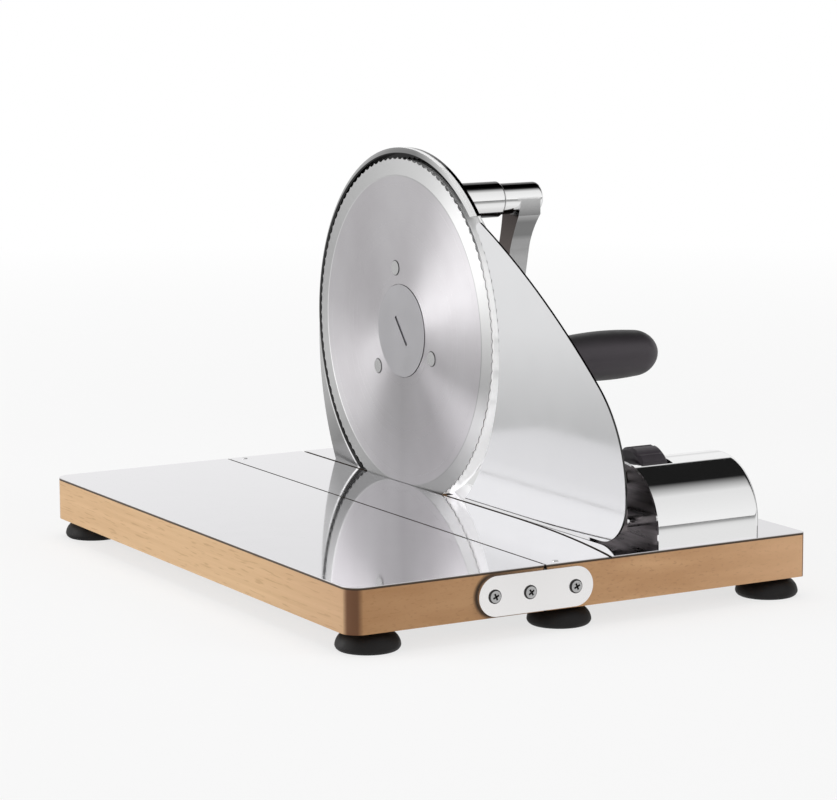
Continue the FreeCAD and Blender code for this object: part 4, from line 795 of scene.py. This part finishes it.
def cut_away(thing, tool):
    """Cut a tool out of an object, and remove the tool."""
    cut = thing.modifiers.new("recess", "BOOLEAN")
    cut.object, cut.operation, cut.solver = tool, "DIFFERENCE", "EXACT"
    cut.use_self = True
    cut.material_mode = "TRANSFER"
    bpy.context.view_layer.update()
    result = thing.evaluated_get(bpy.context.evaluated_depsgraph_get())
    shape = bpy.data.meshes.new_from_object(result)
    thing.modifiers.clear()
    thing.data = shape
    bpy.data.objects.remove(tool)
    for face in shape.polygons:
        face.use_smooth = True
    shape.set_sharp_from_angle(angle=SMOOTH_ANGLE)


def body_name(node):
    """The body that carries a node."""
    bodies = frame["record"]["behaviour"]["bodies"]
    return next(body for body, nodes in bodies.items() if node in nodes)


def crossed_screws(node, size, outward):
    """Screws with a domed head whose edge is painted dark as shade, and a cross recess painted dark
    as shade, in place of a node's plain ones.
    """
    head, head_height = size
    solid, cutter = bmesh.new(), bmesh.new()
    for number, (low, high) in enumerate(islands(node)):
        low, high = Vector(low), Vector(high)
        out = outward((low + high) / 2)
        axis = max(range(3), key=lambda index: abs(out[index]))
        length = high[axis] - low[axis]
        tip = (low + high) / 2 + out * length / 2
        turn = Matrix.Translation(tip) @ out.to_track_quat("Z", "Y").to_matrix().to_4x4()
        turn = turn @ Matrix.Rotation(FIRST_TWIST + number * NEXT_TWIST, 4, "Z")
        lathe(solid, screw_profile(head, head_height, length), turn)
        cross(cutter, head, 0.9 * head_height, turn)
    thing = mesh_object(node + "_crossed", solid, (MATERIALS["screw_steel"], RECESS_SHADE))
    cut_away(thing, mesh_object(node + "_tool", cutter, (RECESS_SHADE,)))
    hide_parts(node)
    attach(thing, body_name(node))


def towards_edge(centre):
    """Outward along Y from the middle of the board."""
    return Vector((0, math.copysign(1, centre[1]), 0))


def upward(_):
    """Straight up."""
    return Vector((0, 0, 1))


def dress_screws():
    """Cross recesses for the screws that show."""
    for node in ("link_screws", "pivot_screws"):
        crossed_screws(node, EDGE_SCREW, towards_edge)
    for node in ("housing_screws", "guard_screws"):
        crossed_screws(node, TABLE_SCREW, upward)


# Studio


def studio_panels(tree):
    """What mirrors see: a pale backdrop, a dark gap overhead and a soft panel in front."""
    direction = add(tree, "TexCoord").outputs["Generated"]
    parts = add(tree, "SeparateXYZ", {"Vector": direction}).outputs
    turn = above(tree, worked(tree, "ARCTAN2", parts["Z"], parts["Y"]), 0, math.pi)
    panels = ramp(tree, turn, (
        (0.0, 0.93), (0.045, 0.93), (0.0636, 0.86), (0.072, 0.79), (0.10, 0.76), (0.14, 0.95),
        (0.28, 0.95), (0.295, 0.012), (0.565, 0.012), (0.59, 0.15), (0.64, 0.45), (0.71, 0.82),
        (1.0, 0.95)))
    overhead = ramp(tree, turn, ((0.0, 0.95), (0.3, 0.9), (0.45, 0.7), (0.6, 0.82), (1.0, 0.95)))
    narrow = below(tree, distance(tree, parts["X"]), 0.26, 0.40)
    panels = mixed(tree, both(tree, narrow, above(tree, turn, 0.22, 0.28)), panels, overhead)
    left = both(tree, below(tree, parts["X"], -0.25, -0.05), below(tree, turn, 0.2, 0.26))
    return mixed(tree, left, panels, grey(0.97))


def build_world():
    """A pale studio that is white to the camera, dim to dull surfaces and has panels in mirrors."""
    world = bpy.data.worlds.new("Studio")
    scene.world = world
    world.use_nodes = True
    tree = world.node_tree
    tree.nodes.clear()
    output = add(tree, "OutputWorld")
    path = add(tree, "LightPath").outputs
    seen = mixed(tree, path["Is Glossy Ray"], grey(AMBIENT), studio_panels(tree))
    direct = most(tree, path["Is Camera Ray"], path["Is Transmission Ray"])
    background = add(tree, "Background", {"Color": mixed(tree, direct, seen, grey(1.0)),
                                          "Strength": 1.0})
    tree.links.new(background.outputs[0], output.inputs["Surface"])


def floor_material():
    """Pale and matt and bright far off; mirrors see it glow in grey levels of painted light and shade
    along Y.
    """
    material = bpy.data.materials.new("floor")
    material.use_nodes = True
    tree = material.node_tree
    tree.nodes.clear()
    output = add(tree, "OutputMaterial")
    far = length_of(tree, add(tree, "TexCoord").outputs["Object"])
    plain = add(tree, "BsdfDiffuse", {"Color": grey(0.86)}).outputs[0]
    bright = add(tree, "Emission", {"Color": grey(1.0), "Strength": 1.0}).outputs[0]
    shown = add(tree, "MixShader", {0: between(tree, far, 0.72, 1.0, 0.5, 1.6), 1: plain,
                                    2: bright}).outputs[0]
    # Painted light and shade: in mirrors the floor glows in these grey levels along Y.
    level = ramp(tree, above(tree, place(tree)["Y"], -1.5, 1.5), (
        (0.0, 0.16), (0.25, 0.28), (0.36, 0.82), (0.44, 0.9), (0.50, 0.7), (0.58, 0.56),
        (0.64, 0.68), (0.75, 0.86), (1.0, 0.95)))
    mirrored = add(tree, "Emission", {"Color": level, "Strength": 1.0}).outputs[0]
    path = add(tree, "LightPath").outputs
    lit = add(tree, "MixShader", {0: path["Is Camera Ray"], 1: plain, 2: shown}).outputs[0]
    mix = add(tree, "MixShader", {0: between(tree, path["Is Glossy Ray"], 0, 0.8, 0, 1), 1: lit,
                                  2: mirrored}).outputs[0]
    tree.links.new(mix, output.inputs["Surface"])
    return material


def build_floor():
    """A plain pale floor that keeps the object's shadow."""
    half = FLOOR_HALF
    mesh = bpy.data.meshes.new("floor")
    corners = [(-half, -half, 0), (half, -half, 0), (half, half, 0), (-half, half, 0)]
    mesh.from_pydata(corners, [], [(0, 1, 2, 3)])
    floor = bpy.data.objects.new("floor", mesh)
    scene.collection.objects.link(floor)
    mesh.materials.append(floor_material())


def softbox(name, spot, aim, width, height, power, mirrored=False):
    """A soft lamp that looks at a point. Mirrors show it only where asked."""
    lamp = bpy.data.lights.new(name, "AREA")
    lamp.shape = "RECTANGLE"
    lamp.size, lamp.size_y = width, height
    lamp.energy = power
    thing = bpy.data.objects.new(name, lamp)
    thing.location = spot
    thing.visible_glossy = mirrored
    thing.rotation_euler = (Vector(aim) - Vector(spot)).to_track_quat("-Z", "Y").to_euler()
    scene.collection.objects.link(thing)


def build_lights():
    """A low key from the left and behind, a fill from the right front and a wide top light."""
    softbox("key", (-1.65, 0.85, 0.45), (0, 0, 0.1), 0.9, 1.1, 16, True)
    softbox("fill", (1.3, -1.5, 0.8), (0, 0, 0.1), 1.0, 1.0, 9)
    softbox("top", (0.0, 0.2, 2.0), (0, 0, 0), 1.4, 1.4, 12)


def build_camera():
    """The photograph's point of view."""
    data = bpy.data.cameras.new("camera")
    data.sensor_width = CAMERA_SENSOR
    data.lens = CAMERA_LENS
    camera = bpy.data.objects.new("camera", data)
    flat = math.cos(CAMERA_ELEVATION)
    back = Vector((math.sin(CAMERA_AZIMUTH) * flat, -math.cos(CAMERA_AZIMUTH) * flat,
                   math.sin(CAMERA_ELEVATION)))
    turn = back.to_track_quat("Z", "Y").to_matrix() @ Matrix.Rotation(CAMERA_ROLL, 3, "Z")
    camera.matrix_world = Matrix.Translation(CAMERA_PLACE) @ turn.to_4x4()
    scene.collection.objects.link(camera)
    scene.camera = camera


dress_nodes()
dress_screws()
build_world()
build_floor()
build_lights()
build_camera()
scene.view_settings.view_transform = "Standard"
